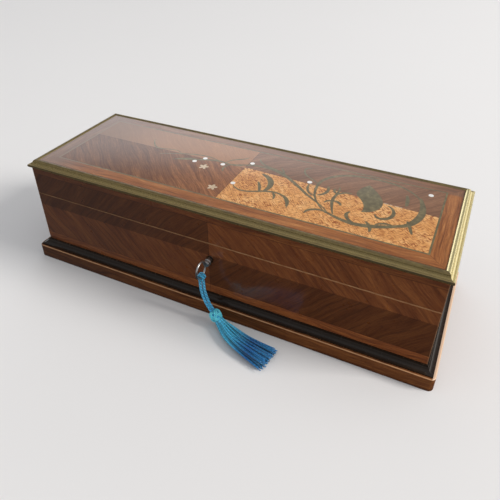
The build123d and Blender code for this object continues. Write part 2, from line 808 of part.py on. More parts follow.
# The thistle-shaped boss of brass inside the large scroll: its outline, from the tip round
thistle = [(84.6, 24.4), (90.8, 18), (95.8, 11), (98.2, 3.6), (96.6, -3.6), (87.6, -10)]
thistle_left = [(87.6, -10), (87.4, -2.6), (83.4, 4.4), (79.4, 9.6), (80, 16.6), (84.6, 24.4)]

pearls = [(-40.1, 2.9), (-35, 9.8), (-19.1, 7.4), (-0.2, 17.8), (-0.5, -13), (46.4, 10.6), (124.2, 28.9)]
flowers = [(-29.8, -1.6), (-10.6, -23.8)]


def drawing_scale():
    """How much larger or smaller the inlay is than it is drawn, so that it fits the field."""
    drawn_x = [x for width, points in scrolls for x, y in points]
    drawn_y = [y for width, points in scrolls for x, y in points]
    along = (field_high_x - field_low_x) * drawing_share_x / (max(drawn_x) - min(drawn_x))
    across = (field_high_y - field_low_y) * drawing_share_y / (max(drawn_y) - min(drawn_y))
    return min(along, across)


def on_field(points):
    """Drawn points, placed on the lid's own field."""
    scale = drawing_scale()
    middle_x = (field_low_x + field_high_x) / 2
    middle_y = (field_low_y + field_high_y) / 2
    return [(middle_x + x * scale, middle_y + (y - drawing_rise) * scale) for x, y in points]


def stroke(width, points):
    """A tapering stroke as a face: a spline on either side of its middle line."""
    points = on_field(points)
    width *= drawing_scale()
    count = len(points)
    sides = ([], [])
    for i, point in enumerate(points):
        here = Vector(*point)
        run = Vector(*points[min(i + 1, count - 1)]) - Vector(*points[max(i - 1, 0)])
        across = Vector(-run.Y, run.X).normalized()
        half = width / 2 * (0.22 + 0.78 * sin(pi * (i + 0.35) / (count - 0.3)))
        sides[0].append(here + across * half)
        sides[1].append(here - across * half)
    left, right = Spline(*sides[0]), Spline(*sides[1])
    return make_face([left, right, Line(left @ 0, right @ 0), Line(left @ 1, right @ 1)])


def scroll_solid():
    faces = [stroke(width, points) for width, points in scrolls]
    boss = make_face([Spline(*on_field(thistle)), Spline(*on_field(thistle_left))])
    solids = [extrude(Pos(0, 0, lid_board_top) * face, amount=veneer) for face in faces + [boss]]
    return Part() + solids


def pearl_solids(play=0.0):
    round_dot = Cylinder(pearl_diameter / 2 + play, veneer)
    return [Pos(x, y, lid_board_top + veneer / 2) * round_dot for x, y in on_field(pearls)]


def flower_solids(play=0.0):
    """Small five-petalled flowers of light wood."""
    petal = Pos(flower_radius * 0.52, 0) * Ellipse(flower_radius * 0.48 + play, flower_radius * 0.27 + play)
    face = Circle(flower_radius * 0.3 + play)
    for turn in range(5):
        face += Rot(0, 0, 72 * turn + 18) * petal
    return [extrude(Pos(x, y, lid_board_top) * face, amount=veneer) for x, y in on_field(flowers)]


def make_lid_top():
    z = lid_board_top
    field = (field_low_x, field_high_x, field_low_y, field_high_y)
    line = (field[0] - line_width, field[1] + line_width, field[2] - line_width, field[3] + line_width)
    edge = (-panel_x, panel_x, -panel_y, panel_y)
    write("lid_banding", *flat_frame(edge, line, z, veneer))
    write("lid_brass_line", *flat_frame(line, field, z, veneer))

    brass = scroll_solid()
    dots = pearl_solids()
    stars = flower_solids()
    brass = brass - dots - stars
    write("lid_brass_scrolls", *brass.solids())
    write("lid_pearl_dots", *dots)
    write("lid_light_flowers", *stars)

    x0, x1, y0, y1 = field
    left, middle, right, cross = long_joint_left_y, long_joint_middle_y, long_joint_right_y, cross_joint_x
    quarters = [
        Polygon((x0, y0), (cross, y0), (cross, left), (x0, left), align=None),
        Polygon((x0, left), (cross, left), (cross, y1), (x0, y1), align=None),
        Polygon((cross, y0), (x1, y0), (x1, right), (cross, middle), align=None),
        Polygon((cross, middle), (x1, right), (x1, y1), (cross, y1), align=None),
    ]
    inlay = [brass] + pearl_solids(inlay_play) + stars
    leaves = []
    for quarter in quarters:
        leaf = extrude(Pos(0, 0, z) * quarter, amount=veneer) - inlay
        leaves += leaf.solids()
    write("lid_field_veneer", *leaves)


# ---------------------------------------------------------------- hinges

def make_hinges():
    knuckle = (hinge_length - 2 * knuckle_gap) / 3
    inner = (-knuckle / 2, knuckle / 2)
    outer = [(-hinge_length / 2, -hinge_length / 2 + knuckle), (hinge_length / 2 - knuckle, hinge_length / 2)]

    def barrel(x, radius):
        middle = (x[0] + x[1]) / 2
        return Pos(middle, pin_y, pin_z) * Rot(0, 90, 0) * Cylinder(radius, x[1] - x[0])

    def leaf(z, own, other):
        half = hinge_length / 2
        solid = block((-half, half), (pin_y - leaf_width, pin_y), z)
        for x in other:
            wider = (x[0] - knuckle_gap, x[1] + knuckle_gap)
            solid -= barrel(wider, barrel_radius + hinge_play)
        for x in own:
            solid += barrel(x, barrel_radius)
        return solid - barrel((-half - 1, half + 1), pin_diameter / 2 + pin_play)

    lower = leaf((seam_z - leaf_thickness, seam_z), outer, [inner])
    upper = leaf((lid_bottom, lid_bottom + leaf_thickness), [inner], outer)
    pin = barrel((-hinge_length / 2, hinge_length / 2), pin_diameter / 2)
    for name, x in zip(("left", "right"), hinge_places()):
        write(f"hinge_leaf_lower_{name}", Pos(x, 0, 0) * lower - hinge_screw_holes(False))
        write(f"hinge_leaf_upper_{name}", Pos(x, 0, 0) * upper - hinge_screw_holes(True))
        write(f"hinge_pin_{name}", Pos(x, 0, 0) * pin)
    one = screw(hinge_screw_head, hinge_screw_shank, hinge_screw_length)
    write("hinge_screws_lower", *[place * one for place in leaf_places(False)])
    small = screw(lock_screw_head, lock_screw_shank, selvage_screw_length)
    write("lid_screws", *([place * one for place in leaf_places(True)]
                          + [place * small for place in link_screw_places()]))


# ---------------------------------------------------------------- lining

def wall_lining(z):
    """Four padded strips just inside the walls, as front, back, left and right."""
    far_x = inside_x - lining_play
    far_y = inside_y - lining_play
    near_x = far_x - lining
    near_y = far_y - lining
    end_y = near_y - lining_play
    return [
        block((-far_x, far_x), (-far_y, -near_y), z),
        block((-far_x, far_x), (near_y, far_y), z),
        block((-far_x, -near_x), (-end_y, end_y), z),
        block((near_x, far_x), (-end_y, end_y), z),
    ]


def make_linings():
    clear_x = inside_x - 2 * lining_play - lining
    clear_y = inside_y - 2 * lining_play - lining
    low = floor_top + lining_play
    front, back, left, right = wall_lining((low, seam_z - lining_rim))
    half = lock_width / 2 + lock_flange + lining_play
    front -= block((-half, half), (-inside_y, -clear_y + 1), (lock_low_z - lining_play, seam_z))
    write("box_wall_lining", front, back, left, right)
    pad = block((-clear_x, clear_x), (-clear_y, clear_y), (low, low + floor_pad))
    write("box_floor_pad", pad)

    high = lid_board_bottom - lining_play
    strips = wall_lining((lid_bottom + lining_rim, high))
    write("lid_wall_lining", *strips)
    write("lid_pad", block((-clear_x, clear_x), (-clear_y, clear_y), (high - lid_pad, high)))


make_plinth()
make_base_moulding()
make_box_walls()
make_box_veneers()
make_rim_edging()
make_lock_case()
make_lock_bolt()
make_link_plate()
make_key()
make_tassel_knot()
make_tassel()
make_lid_rails()
make_lid_side_veneers()
make_edge_moulding()
make_lid_top()
make_hinges()
make_linings()
print("nodes written:", len(os.listdir("parts")))
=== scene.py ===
# %% [markdown]
# # An antique glove box
# A long, low box of polished rosewood, with a brass-edged lid, scrolls of brass let into a
# golden panel, and a blue silk tassel on its key. The boards, the veneers, the lock and the
# hinges come from the frame, at their real size. This lesson gives them their finishes, and
# models what is soft: the braided cord, the tassel and the padded lining.
#
# All lengths are in metres. X runs along the box, the front faces -Y, and Z is up.

import json
import random
from math import cos, pi, radians, sin, sqrt

import bpy
from mathutils import Matrix, Vector
from mathutils.kdtree import KDTree

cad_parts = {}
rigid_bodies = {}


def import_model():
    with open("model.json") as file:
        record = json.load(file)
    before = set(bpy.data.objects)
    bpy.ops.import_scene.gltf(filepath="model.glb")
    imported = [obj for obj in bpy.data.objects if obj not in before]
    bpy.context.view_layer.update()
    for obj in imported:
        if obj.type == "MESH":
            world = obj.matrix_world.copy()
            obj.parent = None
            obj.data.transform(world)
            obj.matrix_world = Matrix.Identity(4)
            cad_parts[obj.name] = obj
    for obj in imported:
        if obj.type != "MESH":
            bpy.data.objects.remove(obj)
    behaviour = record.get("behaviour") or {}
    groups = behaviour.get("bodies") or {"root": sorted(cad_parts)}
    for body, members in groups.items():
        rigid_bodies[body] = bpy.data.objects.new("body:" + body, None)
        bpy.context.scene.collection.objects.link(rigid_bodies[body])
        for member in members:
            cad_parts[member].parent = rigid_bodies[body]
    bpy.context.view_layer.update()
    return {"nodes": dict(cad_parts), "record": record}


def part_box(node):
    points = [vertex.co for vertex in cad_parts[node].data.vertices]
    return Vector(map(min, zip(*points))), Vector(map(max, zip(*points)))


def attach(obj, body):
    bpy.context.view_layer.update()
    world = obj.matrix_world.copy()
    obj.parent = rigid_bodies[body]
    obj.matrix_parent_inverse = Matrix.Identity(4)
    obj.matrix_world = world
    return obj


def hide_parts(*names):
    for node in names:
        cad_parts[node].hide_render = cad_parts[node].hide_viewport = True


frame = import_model()
nodes = frame["nodes"]
slot_of = {row["node"]: row["material_slot"] for row in frame["record"]["subparts"]}
mm = 0.001
print("pieces in the frame:", len(nodes))

# %% [markdown]
# The camera comes first, because everything else is judged through it. It looks down at the
# box from the right of the front. A lens that is a little longer than its sensor is wide gives
# the same strong foreshortening as the real view, and the shift keeps the box low in the frame.

# %% The camera
camera_place = Vector((139.5, -280.3, 262.0)) * mm
camera_turn = radians(25.42)
camera_tilt = radians(34.06)
camera_roll = radians(0.145)
camera_data = bpy.data.cameras.new("camera")
camera_data.sensor_width = 36
camera_data.lens = 36.92
camera_data.shift_y = -0.0714
camera_data.clip_start = 0.01
camera = bpy.data.objects.new("camera", camera_data)
camera.matrix_world = (
    Matrix.Translation(camera_place)
    @ Matrix.Rotation(camera_turn, 4, "Z")
    @ Matrix.Rotation(pi / 2 - camera_tilt, 4, "X")
    @ Matrix.Rotation(camera_roll, 4, "Z")
)
bpy.context.scene.collection.objects.link(camera)
bpy.context.scene.camera = camera
print("camera at", tuple(round(x, 3) for x in camera_place))

# %% [markdown]
# A silk cord is limp, so it hangs straight down from the key and then bends gently out to
# the tassel. Its route is a short list of points under a smooth NURBS curve. A mesh follows
# the points that the finished curve gives, because the curve itself is smooth and the list
# is not.

# %% The cord's route
def smooth_line(name, places):
    """The points along a smooth NURBS curve under the places."""
    curve = bpy.data.curves.new(name, "CURVE")
    curve.dimensions = "3D"
    spline = curve.splines.new("NURBS")
    spline.points.add(len(places) - 1)
    for point, place in zip(spline.points, places):
        point.co = (*place, 1)
    spline.order_u = 3
    spline.use_endpoint_u = True
    spline.resolution_u = 16
    holder = bpy.data.objects.new(name, curve)
    mesh = bpy.data.meshes.new_from_object(holder)
    line = [vertex.co.copy() for vertex in mesh.vertices]
    bpy.data.objects.remove(holder)
    return line


def line_length(line):
    return sum((b - a).length for a, b in zip(line, line[1:]))


cord_diameter = 2.2 * mm
bow_middle_y = -61.4 * mm
knot_height = 38.0 * mm
cord_start = Vector((0, -61.4, 34.8)) * mm
cord_route = [
    (0.0, 0.0, 0.0),
    (0.2, -0.1, -5.4),
    (1.2, -0.4, -11.0),
    (3.6, -1.0, -16.7),
    (7.6, -1.9, -21.9),
    (12.6, -3.0, -26.6),
]
strand_side = Vector((0.87, 0.50, 0.0)) * (cord_diameter / 2 + 0.02 * mm)
cord_lines = {}
for name, side in (("left", -1), ("right", 1)):
    places = [cord_start + strand_side * side + Vector(step) * mm for step in cord_route]
    cord_lines[name] = smooth_line("cord_route_" + name, places)
    print("cord", name, "length in mm", round(line_length(cord_lines[name]) / mm, 2))

# %% [markdown]
# A round braid is eight thin strands: four wind one way and four the other, and each passes
# over and under the ones it meets. A bump map could hint at that, but the cord is seen close,
# so the strands are real. A strand is a tube, and a tube is a row of rings. So the first
# helpers give a line evenly spaced points, and two directions across it at each of them.

# %% Rings along a line
def frames_along(line, closed=False):
    """A place, and two directions across it, for each point of a line, without any twist."""
    count = len(line)
    frames = []
    across = None
    for i, place in enumerate(line):
        before = line[i - 1] if i or closed else line[i]
        after = line[(i + 1) % count] if i + 1 < count or closed else line[i]
        way = (after - before).normalized()
        if across is None:
            across = way.orthogonal()
        across = (across - way * across.dot(way)).normalized()
        frames.append((place, across.copy(), way.cross(across)))
    return frames


def even_line(line, step):
    """The same line, with its points a set step apart."""
    count = max(2, round(line_length(line) / step))
    spacing = line_length(line) / count
    even, gone, wanted = [line[0].copy()], 0.0, spacing
    for a, b in zip(line, line[1:]):
        run = (b - a).length
        while run and wanted <= gone + run + 1e-12 and len(even) < count:
            even.append(a.lerp(b, (wanted - gone) / run))
            wanted += spacing
        gone += run
    even.append(line[-1].copy())
    return even


def circle(middle, across, up, radius, sides):
    turns = [2 * pi * k / sides for k in range(sides)]
    return [middle + (across * cos(t) + up * sin(t)) * radius for t in turns]


print("points a millimetre apart along a strand:", len(even_line(cord_lines["left"], mm)))

# %% [markdown]
# All the tubes of one piece go into one mesh, which is much quicker than joining hundreds of
# small ones. Each tube brings its own UV map, which runs along it and round it, for the ply of
# the silk. It also brings a shade of its own, because no two threads take up dye alike, and a
# braid's core brings a dark one, which is painted shade between its strands.

# %% Many tubes, one mesh
class Weave:
    """Collects tubes, and turns them into one mesh with a UV map."""

    def __init__(self):
        self.places, self.faces, self.marks = [], [], []

    def tube(self, rings, closed=False, shade=0.0):
        """Adds a tube through rings of points. U runs along it and V goes round it."""
        start, sides = len(self.places), len(rings[0])
        self.places += [place for ring in rings for place in ring]
        spans = len(rings) if closed else len(rings) - 1
        for i in range(spans):
            j = (i + 1) % len(rings)
            for k in range(sides):
                n = (k + 1) % sides
                corners = [(i, k), (i, n), (j, n), (j, k)]
                self.faces.append([start + a * sides + b for a, b in corners])
                u = (i / len(rings), (i + 1) / len(rings))
                v = (k / sides, (k + 1) / sides)
                self.marks += [(u[0], v[0], shade), (u[0], v[1], shade),
                               (u[1], v[1], shade), (u[1], v[0], shade)]
        if not closed:
            for end, turn in ((0, -1), (len(rings) - 1, 1)):
                self.faces.append([start + end * sides + k for k in range(sides)][::turn])
                self.marks += [(end / len(rings), 0, shade)] * sides

    def piece(self, name):
        """The finished object. Its colour attribute keeps each tube's own shade."""
        mesh = bpy.data.meshes.new(name)
        mesh.from_pydata(self.places, [], self.faces)
        chart = mesh.uv_layers.new(name="UVMap")
        chart.data.foreach_set("uv", [x for mark in self.marks for x in mark[:2]])
        shade = mesh.attributes.new("shade", "FLOAT", "CORNER")
        shade.data.foreach_set("value", [mark[2] for mark in self.marks])
        mesh.shade_smooth()
        piece = bpy.data.objects.new(name, mesh)
        bpy.context.scene.collection.objects.link(piece)
        return piece


weave = Weave()
weave.tube([circle(place, *sides, mm, 6) for place, *sides in frames_along(cord_lines["left"])])
print("faces of a plain tube on the cord's route:", len(weave.faces))

# %% [markdown]
# Each strand's distance from the cord's middle rises and falls in a cosine, and the strands
# that wind the other way do so in opposite step. That is what puts each one over and then
# under. A plain core fills the middle, so that no light comes through, and it is painted dark,
# as shade between the strands.

# %% The braided cord
def braid(weave, line, diameter, closed=False, turns_apart=5.2 * mm):
    """Eight strands round a core, which fill a cord of this diameter."""
    strand = diameter * 0.125
    weave_depth = diameter * 0.06
    middle = diameter / 2 - strand - weave_depth
    line = even_line(line, 0.16 * mm)
    if closed:
        line = line[:-1]
    frames = frames_along(line, closed)
    twists = max(1, round(line_length(line) / turns_apart)) * 2 * pi / len(line)
    # The core's shade of -0.5 paints it dark, as shade between the strands.
    weave.tube([circle(p, a, b, middle * 0.95, 8) for p, a, b in frames], closed, -0.5)
    for wound in (-1, 1):
        for strand_start in range(4):
            rings = []
            for i, (place, across, up) in enumerate(frames):
                turn = wound * i * twists + strand_start * pi / 2
                reach = middle + wound * weave_depth * cos(4 * i * twists)
                out = across * cos(turn) + up * sin(turn)
                side = up * cos(turn) - across * sin(turn)
                rings.append([
                    place + out * (reach + strand * 0.8 * cos(t)) + side * strand * 1.25 * sin(t)
                    for t in (2 * pi * k / 6 for k in range(6))
                ])
            weave.tube(rings, closed, 0.3 - 0.5 * (strand_start % 2))


for name, line in cord_lines.items():
    weave = Weave()
    braid(weave, line, cord_diameter)
    cord = weave.piece("braided_cord_" + name)
    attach(cord, "tassel")
    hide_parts("tassel_cord_" + name)
    print(cord.name, "faces", len(cord.data.polygons))

# %% [markdown]
# The cord is tied to the key's ring by two turns round its wire. Each turn is a short braid
# that closes on itself, so its line is a plain circle and its first ring meets its last.

# %% The turns round the key's ring
ring_wire_radius = 0.7 * mm
turn_radius = ring_wire_radius + cord_diameter / 2
weave = Weave()
for side in (-1, 1):
    middle = Vector((0, bow_middle_y + side * cord_diameter / 2, knot_height))
    ring = circle(middle, Vector((1, 0, 0)), Vector((0, 0, 1)), turn_radius, 64)
    braid(weave, ring + [ring[0]], cord_diameter - 0.1 * mm, closed=True)
turns = weave.piece("cord_turns_on_ring")
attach(turns, "key")
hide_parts("tassel_knot")
print(turns.name, "faces", len(turns.data.polygons))

# %% [markdown]
# The tassel's head is a ball that the cord is knotted over. A Turk's head knot is one cord
# that laps the ball three times while it swings five times from pole to pole, and it goes
# over and under at every crossing. Sines and cosines of those two counts give its line. The
# knot is doubled, so the braid from before follows two lines, side by side.

# %% The tassel's head
head_radius = 4.7 * mm
core_radius = head_radius - 1.3 * mm
head_foot_depth = 0.72 * head_radius
way_down = (Vector(cord_route[-1]) - Vector(cord_route[-2])).normalized()
head_foot = cord_start + Vector(cord_route[-1]) * mm + way_down * (0.26 * head_radius)
head_middle = head_foot - way_down * head_foot_depth
head_across = way_down.cross(Vector((0, 0, 1))).normalized()
head_up = way_down.cross(head_across)


def turks_head(laps, swings, knot_radius, lift, reach, aside, points=720):
    """The closed line of a Turk's head knot, moved aside from its middle by a distance."""
    line = []
    for i in range(points):
        t = 2 * pi * i / points
        lean = reach * cos(swings * t)
        out = knot_radius + lift * sin(2 * swings * t)
        around = head_across * cos(laps * t) + head_up * sin(laps * t)
        line.append((around * cos(lean) + way_down * sin(lean)) * out)
    moved = []
    for i, place in enumerate(line):
        run = line[(i + 1) % points] - line[i - 1]
        moved.append(head_middle + place + place.cross(run).normalized() * aside)
    return moved + [moved[0]]


knot_cord = 1.08 * mm
knot_lift = 0.56 * mm
knot_radius = head_radius - knot_cord / 2 - knot_lift
laps, swings, pole_angle = 3, 5, radians(54)
weave = Weave()
for side in (-1, 1):
    line = turks_head(laps, swings, knot_radius, knot_lift, pole_angle, side * knot_cord * 0.52)
    braid(weave, line, knot_cord, closed=True, turns_apart=3.4 * mm)
head_knot = weave.piece("tassel_head_knot")
bpy.ops.object.select_all(action="DESELECT")
bpy.ops.mesh.primitive_uv_sphere_add(segments=32, ring_count=20, radius=core_radius)
head_core = bpy.context.object
head_core.name = "tassel_head_core"
head_core.data.transform(Matrix.Translation(head_middle))
head_core.data.shade_smooth()
for piece in (head_knot, head_core):
    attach(piece, "tassel")
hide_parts("tassel_head")
print(head_knot.name, "faces", len(head_knot.data.polygons))

# %% [markdown]
# The skirt is a bundle of silk threads. They leave the head side by side, fall to the table
# and fan out on it, and their cut ends are a little uneven. Each thread keeps its own place
# in the bundle, so its line comes from the skirt's sections, with a small wander of its own.
# A row of the sections gives the place of one along X and along Y from the skirt's start, its
# width, its depth and its height over the table, all in millimetres.

# %% The tassel's skirt
skirt_sections = [
    (12.6, -6.6, 13.0, 6.6, 1.6),
    (26.0, -10.6, 16.8, 5.6, 0.9),
    (42.6, -13.0, 21.0, 4.4, 0.0),
]
floor_play = 0.3 * mm
neck_radius = 3.0 * mm
thread_count = 180
thread_radius = 0.34 * mm
thread_reach = 0.93
thread_wander = 0.11
golden_turn = pi * (3 - sqrt(5))
skirt_start = head_foot + way_down * 0.3 * mm


def skirt_frames():
    """The middle, the half width and the half depth of each section of the skirt."""
    middles = [head_foot - way_down * 1.0 * mm, skirt_start + way_down * 1.4 * mm]
    for x, y, width, depth, lift in skirt_sections:
        middles.append(Vector((skirt_start.x + x * mm, skirt_start.y + y * mm,
                               (depth / 2 + lift) * mm + floor_play)))
    sections = []
    for i, middle in enumerate(middles):
        if i < 2:
            sections.append((middle, head_across * -neck_radius, head_up * -neck_radius))
            continue
        run = (middles[min(i + 1, len(middles) - 1)] - middles[i - 1]).normalized()
        level = Vector((-run.y, run.x, 0)).normalized()
        width, depth = skirt_sections[i - 2][2:4]
        sections.append((middle, level * width / 2 * mm, run.cross(level) * depth / 2 * mm))
    return sections


draw = random.Random(7)
weave = Weave()
sections = skirt_frames()
for i in range(thread_count):
    reach = sqrt((i + 0.5) / thread_count) * thread_reach
    turn = i * golden_turn
    places = []
    for k, (middle, wide, deep) in enumerate(sections):
        wander = thread_wander if k else 0.0
        a = reach * cos(turn) + draw.uniform(-wander, wander)
        b = reach * sin(turn) + draw.uniform(-wander, wander)
        places.append(middle + wide * a + deep * b)
    last = (places[-1] - places[-2]).normalized()
    places[-1] = places[-1] + last * draw.uniform(-2.2, 1.4) * mm
    line = even_line(smooth_line("thread", places), 1.6 * mm)
    for point in line:
        point.z = max(point.z, thread_radius + floor_play)
    thickness = thread_radius * draw.uniform(0.85, 1.1)
    rings = [circle(p, a, b, thickness, 5) for p, a, b in frames_along(line)]
    weave.tube(rings, shade=draw.uniform(-0.5, 0.5))
skirt = weave.piece("tassel_skirt_threads")
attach(skirt, "tassel")
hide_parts("tassel_skirt")
print(skirt.name, "faces", len(skirt.data.polygons))

# %% [markdown]
# Inside, the box and its lid are lined with padded silk. A real pad is a piece of silk that
# is a little too large for its card: it is held down along its edges and at its buttons, and
# the wadding pushes it out everywhere else. So each pad starts as a flat grid. Cloth
# simulation holds the same places, makes the silk a few percent larger than its grid, and
# blows it gently outwards. What comes out has the soft diamonds and the small creases that
# run between buttons, which would be hard to draw by hand.

# %% A grid of silk
silk_step = 1.9 * mm
edge_of_grid = 0.499
pads = []


def silk_grid(name, middle, along, up, held, proud, growth):
    """A flat grid from two edge vectors. held(a, b) tells which places are sewn down."""
    out = along.cross(up).normalized()
    wide, tall = along.length, up.length
    across, high = max(4, round(wide / silk_step)), max(4, round(tall / silk_step))
    bpy.ops.object.select_all(action="DESELECT")
    bpy.ops.mesh.primitive_grid_add(x_subdivisions=across, y_subdivisions=high, size=1)
    pad = bpy.context.object
    pad.name = name
    flat = [vertex.co.copy() for vertex in pad.data.vertices]
    grip = pad.vertex_groups.new(name="held")
    sewn = [i for i, p in enumerate(flat)
            if max(abs(p.x), abs(p.y)) > edge_of_grid or held(p.x * wide, p.y * tall)]
    grip.add(sewn, 1.0, "REPLACE")
    turn = Matrix((along, up, out)).transposed().to_4x4()
    pad.data.transform(Matrix.Translation(middle) @ turn)
    pads.append({"piece": pad, "out": out, "middle": middle, "proud": proud,
                 "growth": growth, "flat": flat, "sewn": sewn})


print("the silk's grid step in mm:", silk_step / mm)

# %% [markdown]
# The two large pads are quilted in diamonds. Their buttons stand in rows, and every second row
# is moved along by half a space.

# %% The quilted pads
def diamonds(spacing_x, spacing_y, limit_x, limit_y):
    """The button places of a diamond quilting, in two alternating rows."""
    places = []
    rows = int(limit_y / spacing_y)
    for row in range(-rows, rows + 1):
        shift = 0.5 * (row % 2)
        count = int(limit_x / spacing_x)
        for i in range(-count - 1, count + 2):
            x = (i + shift) * spacing_x
            if abs(x) <= limit_x:
                places.append((x, row * spacing_y))
    return places


def near_a_button(places):
    reach = silk_step * 0.75
    return lambda a, b: any(abs(a - x) < reach and abs(b - y) < reach for x, y in places)


floor_low, floor_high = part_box("box_floor_pad")
lid_low, lid_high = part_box("lid_pad")
floor_pad_size = Vector(floor_high) - Vector(floor_low)
lid_pad_size = Vector(lid_high) - Vector(lid_low)
buttons = diamonds(30.2 * mm, 19.0 * mm, 122 * mm, 30 * mm)
pad_edge = 2.6 * mm
silk_grid("floor_pad_silk", Vector((0, 0, floor_low[2] + pad_edge)),
          Vector((floor_pad_size.x, 0, 0)), Vector((0, floor_pad_size.y, 0)),
          near_a_button(buttons), 3.6 * mm, 0.045)
silk_grid("lid_pad_silk", Vector((0, 0, lid_high[2] - pad_edge)),
          Vector((lid_pad_size.x, 0, 0)), Vector((0, -lid_pad_size.y, 0)),
          near_a_button(buttons), 3.4 * mm, 0.045)
print("buttons in each pad:", len(buttons))

# %% [markdown]
# The walls are lined in narrow upright channels, sewn down at every seam, as old glove and
# jewel boxes often are. The strip on the front is in three pieces, because it has to leave
# the lock's plate free.

# %% The walls' silk
channel = 9.6 * mm
wall_card = 1.2 * mm


def channels(wide):
    count = max(1, round(wide / channel))
    seams = [-wide / 2 + wide * i / count for i in range(1, count)]
    reach = silk_step * 0.5
    return lambda a, b: any(abs(a - seam) < reach for seam in seams)


def wall_silk(name, start, end, low, high):
    """Silk on a wall, from one end to the other as seen from inside the box."""
    start, end = Vector((*start, 0)), Vector((*end, 0))
    along, up = end - start, Vector((0, 0, high - low))
    inward = along.cross(up).normalized()
    middle = (start + end) / 2 + Vector((0, 0, (low + high) / 2)) + inward * wall_card
    silk_grid(name, middle, along, up, channels(along.length), 0.8 * mm, 0.02)


box_low, box_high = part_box("box_wall_lining")
rim_low, rim_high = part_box("lid_wall_lining")
far_x, far_y = box_high[0], box_high[1]
near_y = far_y - 2.2 * mm
lock_half = 25.4 * mm
lock_low = 31.2 * mm
for place, low, high in (("box", box_low[2], box_high[2]), ("lid", rim_low[2], rim_high[2])):
    wall_silk(place + "_back_silk", (far_x, far_y), (-far_x, far_y), low, high)
    wall_silk(place + "_left_silk", (-far_x, near_y), (-far_x, -near_y), low, high)
    wall_silk(place + "_right_silk", (far_x, -near_y), (far_x, near_y), low, high)
wall_silk("lid_front_silk", (-far_x, -far_y), (far_x, -far_y), rim_low[2], rim_high[2])
for place, start, end, high in (("left", -far_x, -lock_half, box_high[2]),
                                ("right", lock_half, far_x, box_high[2]),
                                ("middle", -lock_half, lock_half, lock_low)):
    wall_silk("box_front_silk_" + place, (start, -far_y), (end, -far_y), box_low[2], high)
print("pads:", len(pads))

# %% [markdown]
# All pads are simulated together, so the frames are stepped only once. Gravity is off,
# because wadding fills them.

# %% Fill the pads
def start_crown(pad, slope=0.12, limit=8 * mm):
    """A slight swell away from each seam and button, so that the silk buckles outwards."""
    vertices = pad["piece"].data.vertices
    sewn = KDTree(len(pad["sewn"]))
    for i in pad["sewn"]:
        sewn.insert(vertices[i].co, i)
    sewn.balance()
    for vertex in vertices:
        vertex.co += pad["out"] * slope * min(sewn.find(vertex.co)[2], limit)


def fill_with_cloth(frames=12):
    for pad in pads:
        start_crown(pad)
        cloth = pad["piece"].modifiers.new("silk", "CLOTH")
        setting = cloth.settings
        setting.quality = 5
        setting.mass = 0.15
        setting.shrink_min = -pad["growth"]
        setting.use_pressure = True
        setting.uniform_pressure_force = 30
        setting.effector_weights.gravity = 0
        setting.vertex_group_mass = "held"
        cloth.point_cache.frame_end = frames
    for moment in range(1, frames + 1):
        bpy.context.scene.frame_set(moment)
    for pad in pads:
        bpy.context.view_layer.objects.active = pad["piece"]
        bpy.ops.object.modifier_apply(modifier="silk")
    bpy.context.scene.frame_set(1)


fill_with_cloth()
for pad in pads:
    tops = [(v.co - pad["middle"]).dot(pad["out"]) / mm for v in pad["piece"].data.vertices]
    print(pad["piece"].name, "stands out, in mm:", round(max(tops), 2))

# %% [markdown]
# A pad has a back, and its edge is glued down to the card behind. So one level of subdivision
# smooths the silk, and then its edge is extruded straight back and closed.

# %% Close the pads
def turn_edge_back(pad, depth):
    """Closes the silk behind, with its edge pulled straight back to the card."""
    piece, out = pad["piece"], pad["out"]
    for i, vertex in enumerate(piece.data.vertices):
        height = (vertex.co - pad["middle"]).dot(out)
        kept = min(max(height, -0.3 * mm), pad["proud"])
        vertex.co += out * (kept - height)
    bpy.ops.object.select_all(action="DESELECT")
    piece.select_set(True)
    bpy.context.view_layer.objects.active = piece
    smoother = piece.modifiers.new("smooth", "SUBSURF")
    smoother.levels = smoother.render_levels = 1
    bpy.ops.object.modifier_apply(modifier="smooth")
    bpy.ops.object.mode_set(mode="EDIT")
    bpy.ops.mesh.select_all(action="SELECT")
    bpy.ops.mesh.region_to_loop()
    bpy.ops.mesh.extrude_edges_move(TRANSFORM_OT_translate={"value": tuple(out * -depth)})
    bpy.ops.mesh.edge_face_add()
    bpy.ops.mesh.select_all(action="SELECT")
    bpy.ops.mesh.normals_make_consistent(inside=False)
    bpy.ops.object.mode_set(mode="OBJECT")
    bpy.ops.object.shade_smooth_by_angle(angle=radians(60))


for pad in pads:
    piece = pad["piece"]
    turn_edge_back(pad, (pad_edge if "_pad_" in piece.name else wall_card) * 0.9)
    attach(piece, "lid" if piece.name.startswith("lid") else "box")
stand_ins = {"floor_pad_silk": "box_floor_pad", "lid_pad_silk": "lid_pad",
             "box_back_silk": "box_wall_lining", "lid_back_silk": "lid_wall_lining"}
for name, node in stand_ins.items():
    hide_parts(node)
print("faces in all pads:", sum(len(pad["piece"].data.polygons) for pad in pads))

# %% [markdown]
# Each button is a flattened dome with a soft rim. One is modelled, and the rest are copies of
# it with their own mesh, joined into one piece for each pad.

# %% The silk buttons
button_radius = 2.3 * mm
button_flatness = 0.42
button_rise = 0.6 * mm


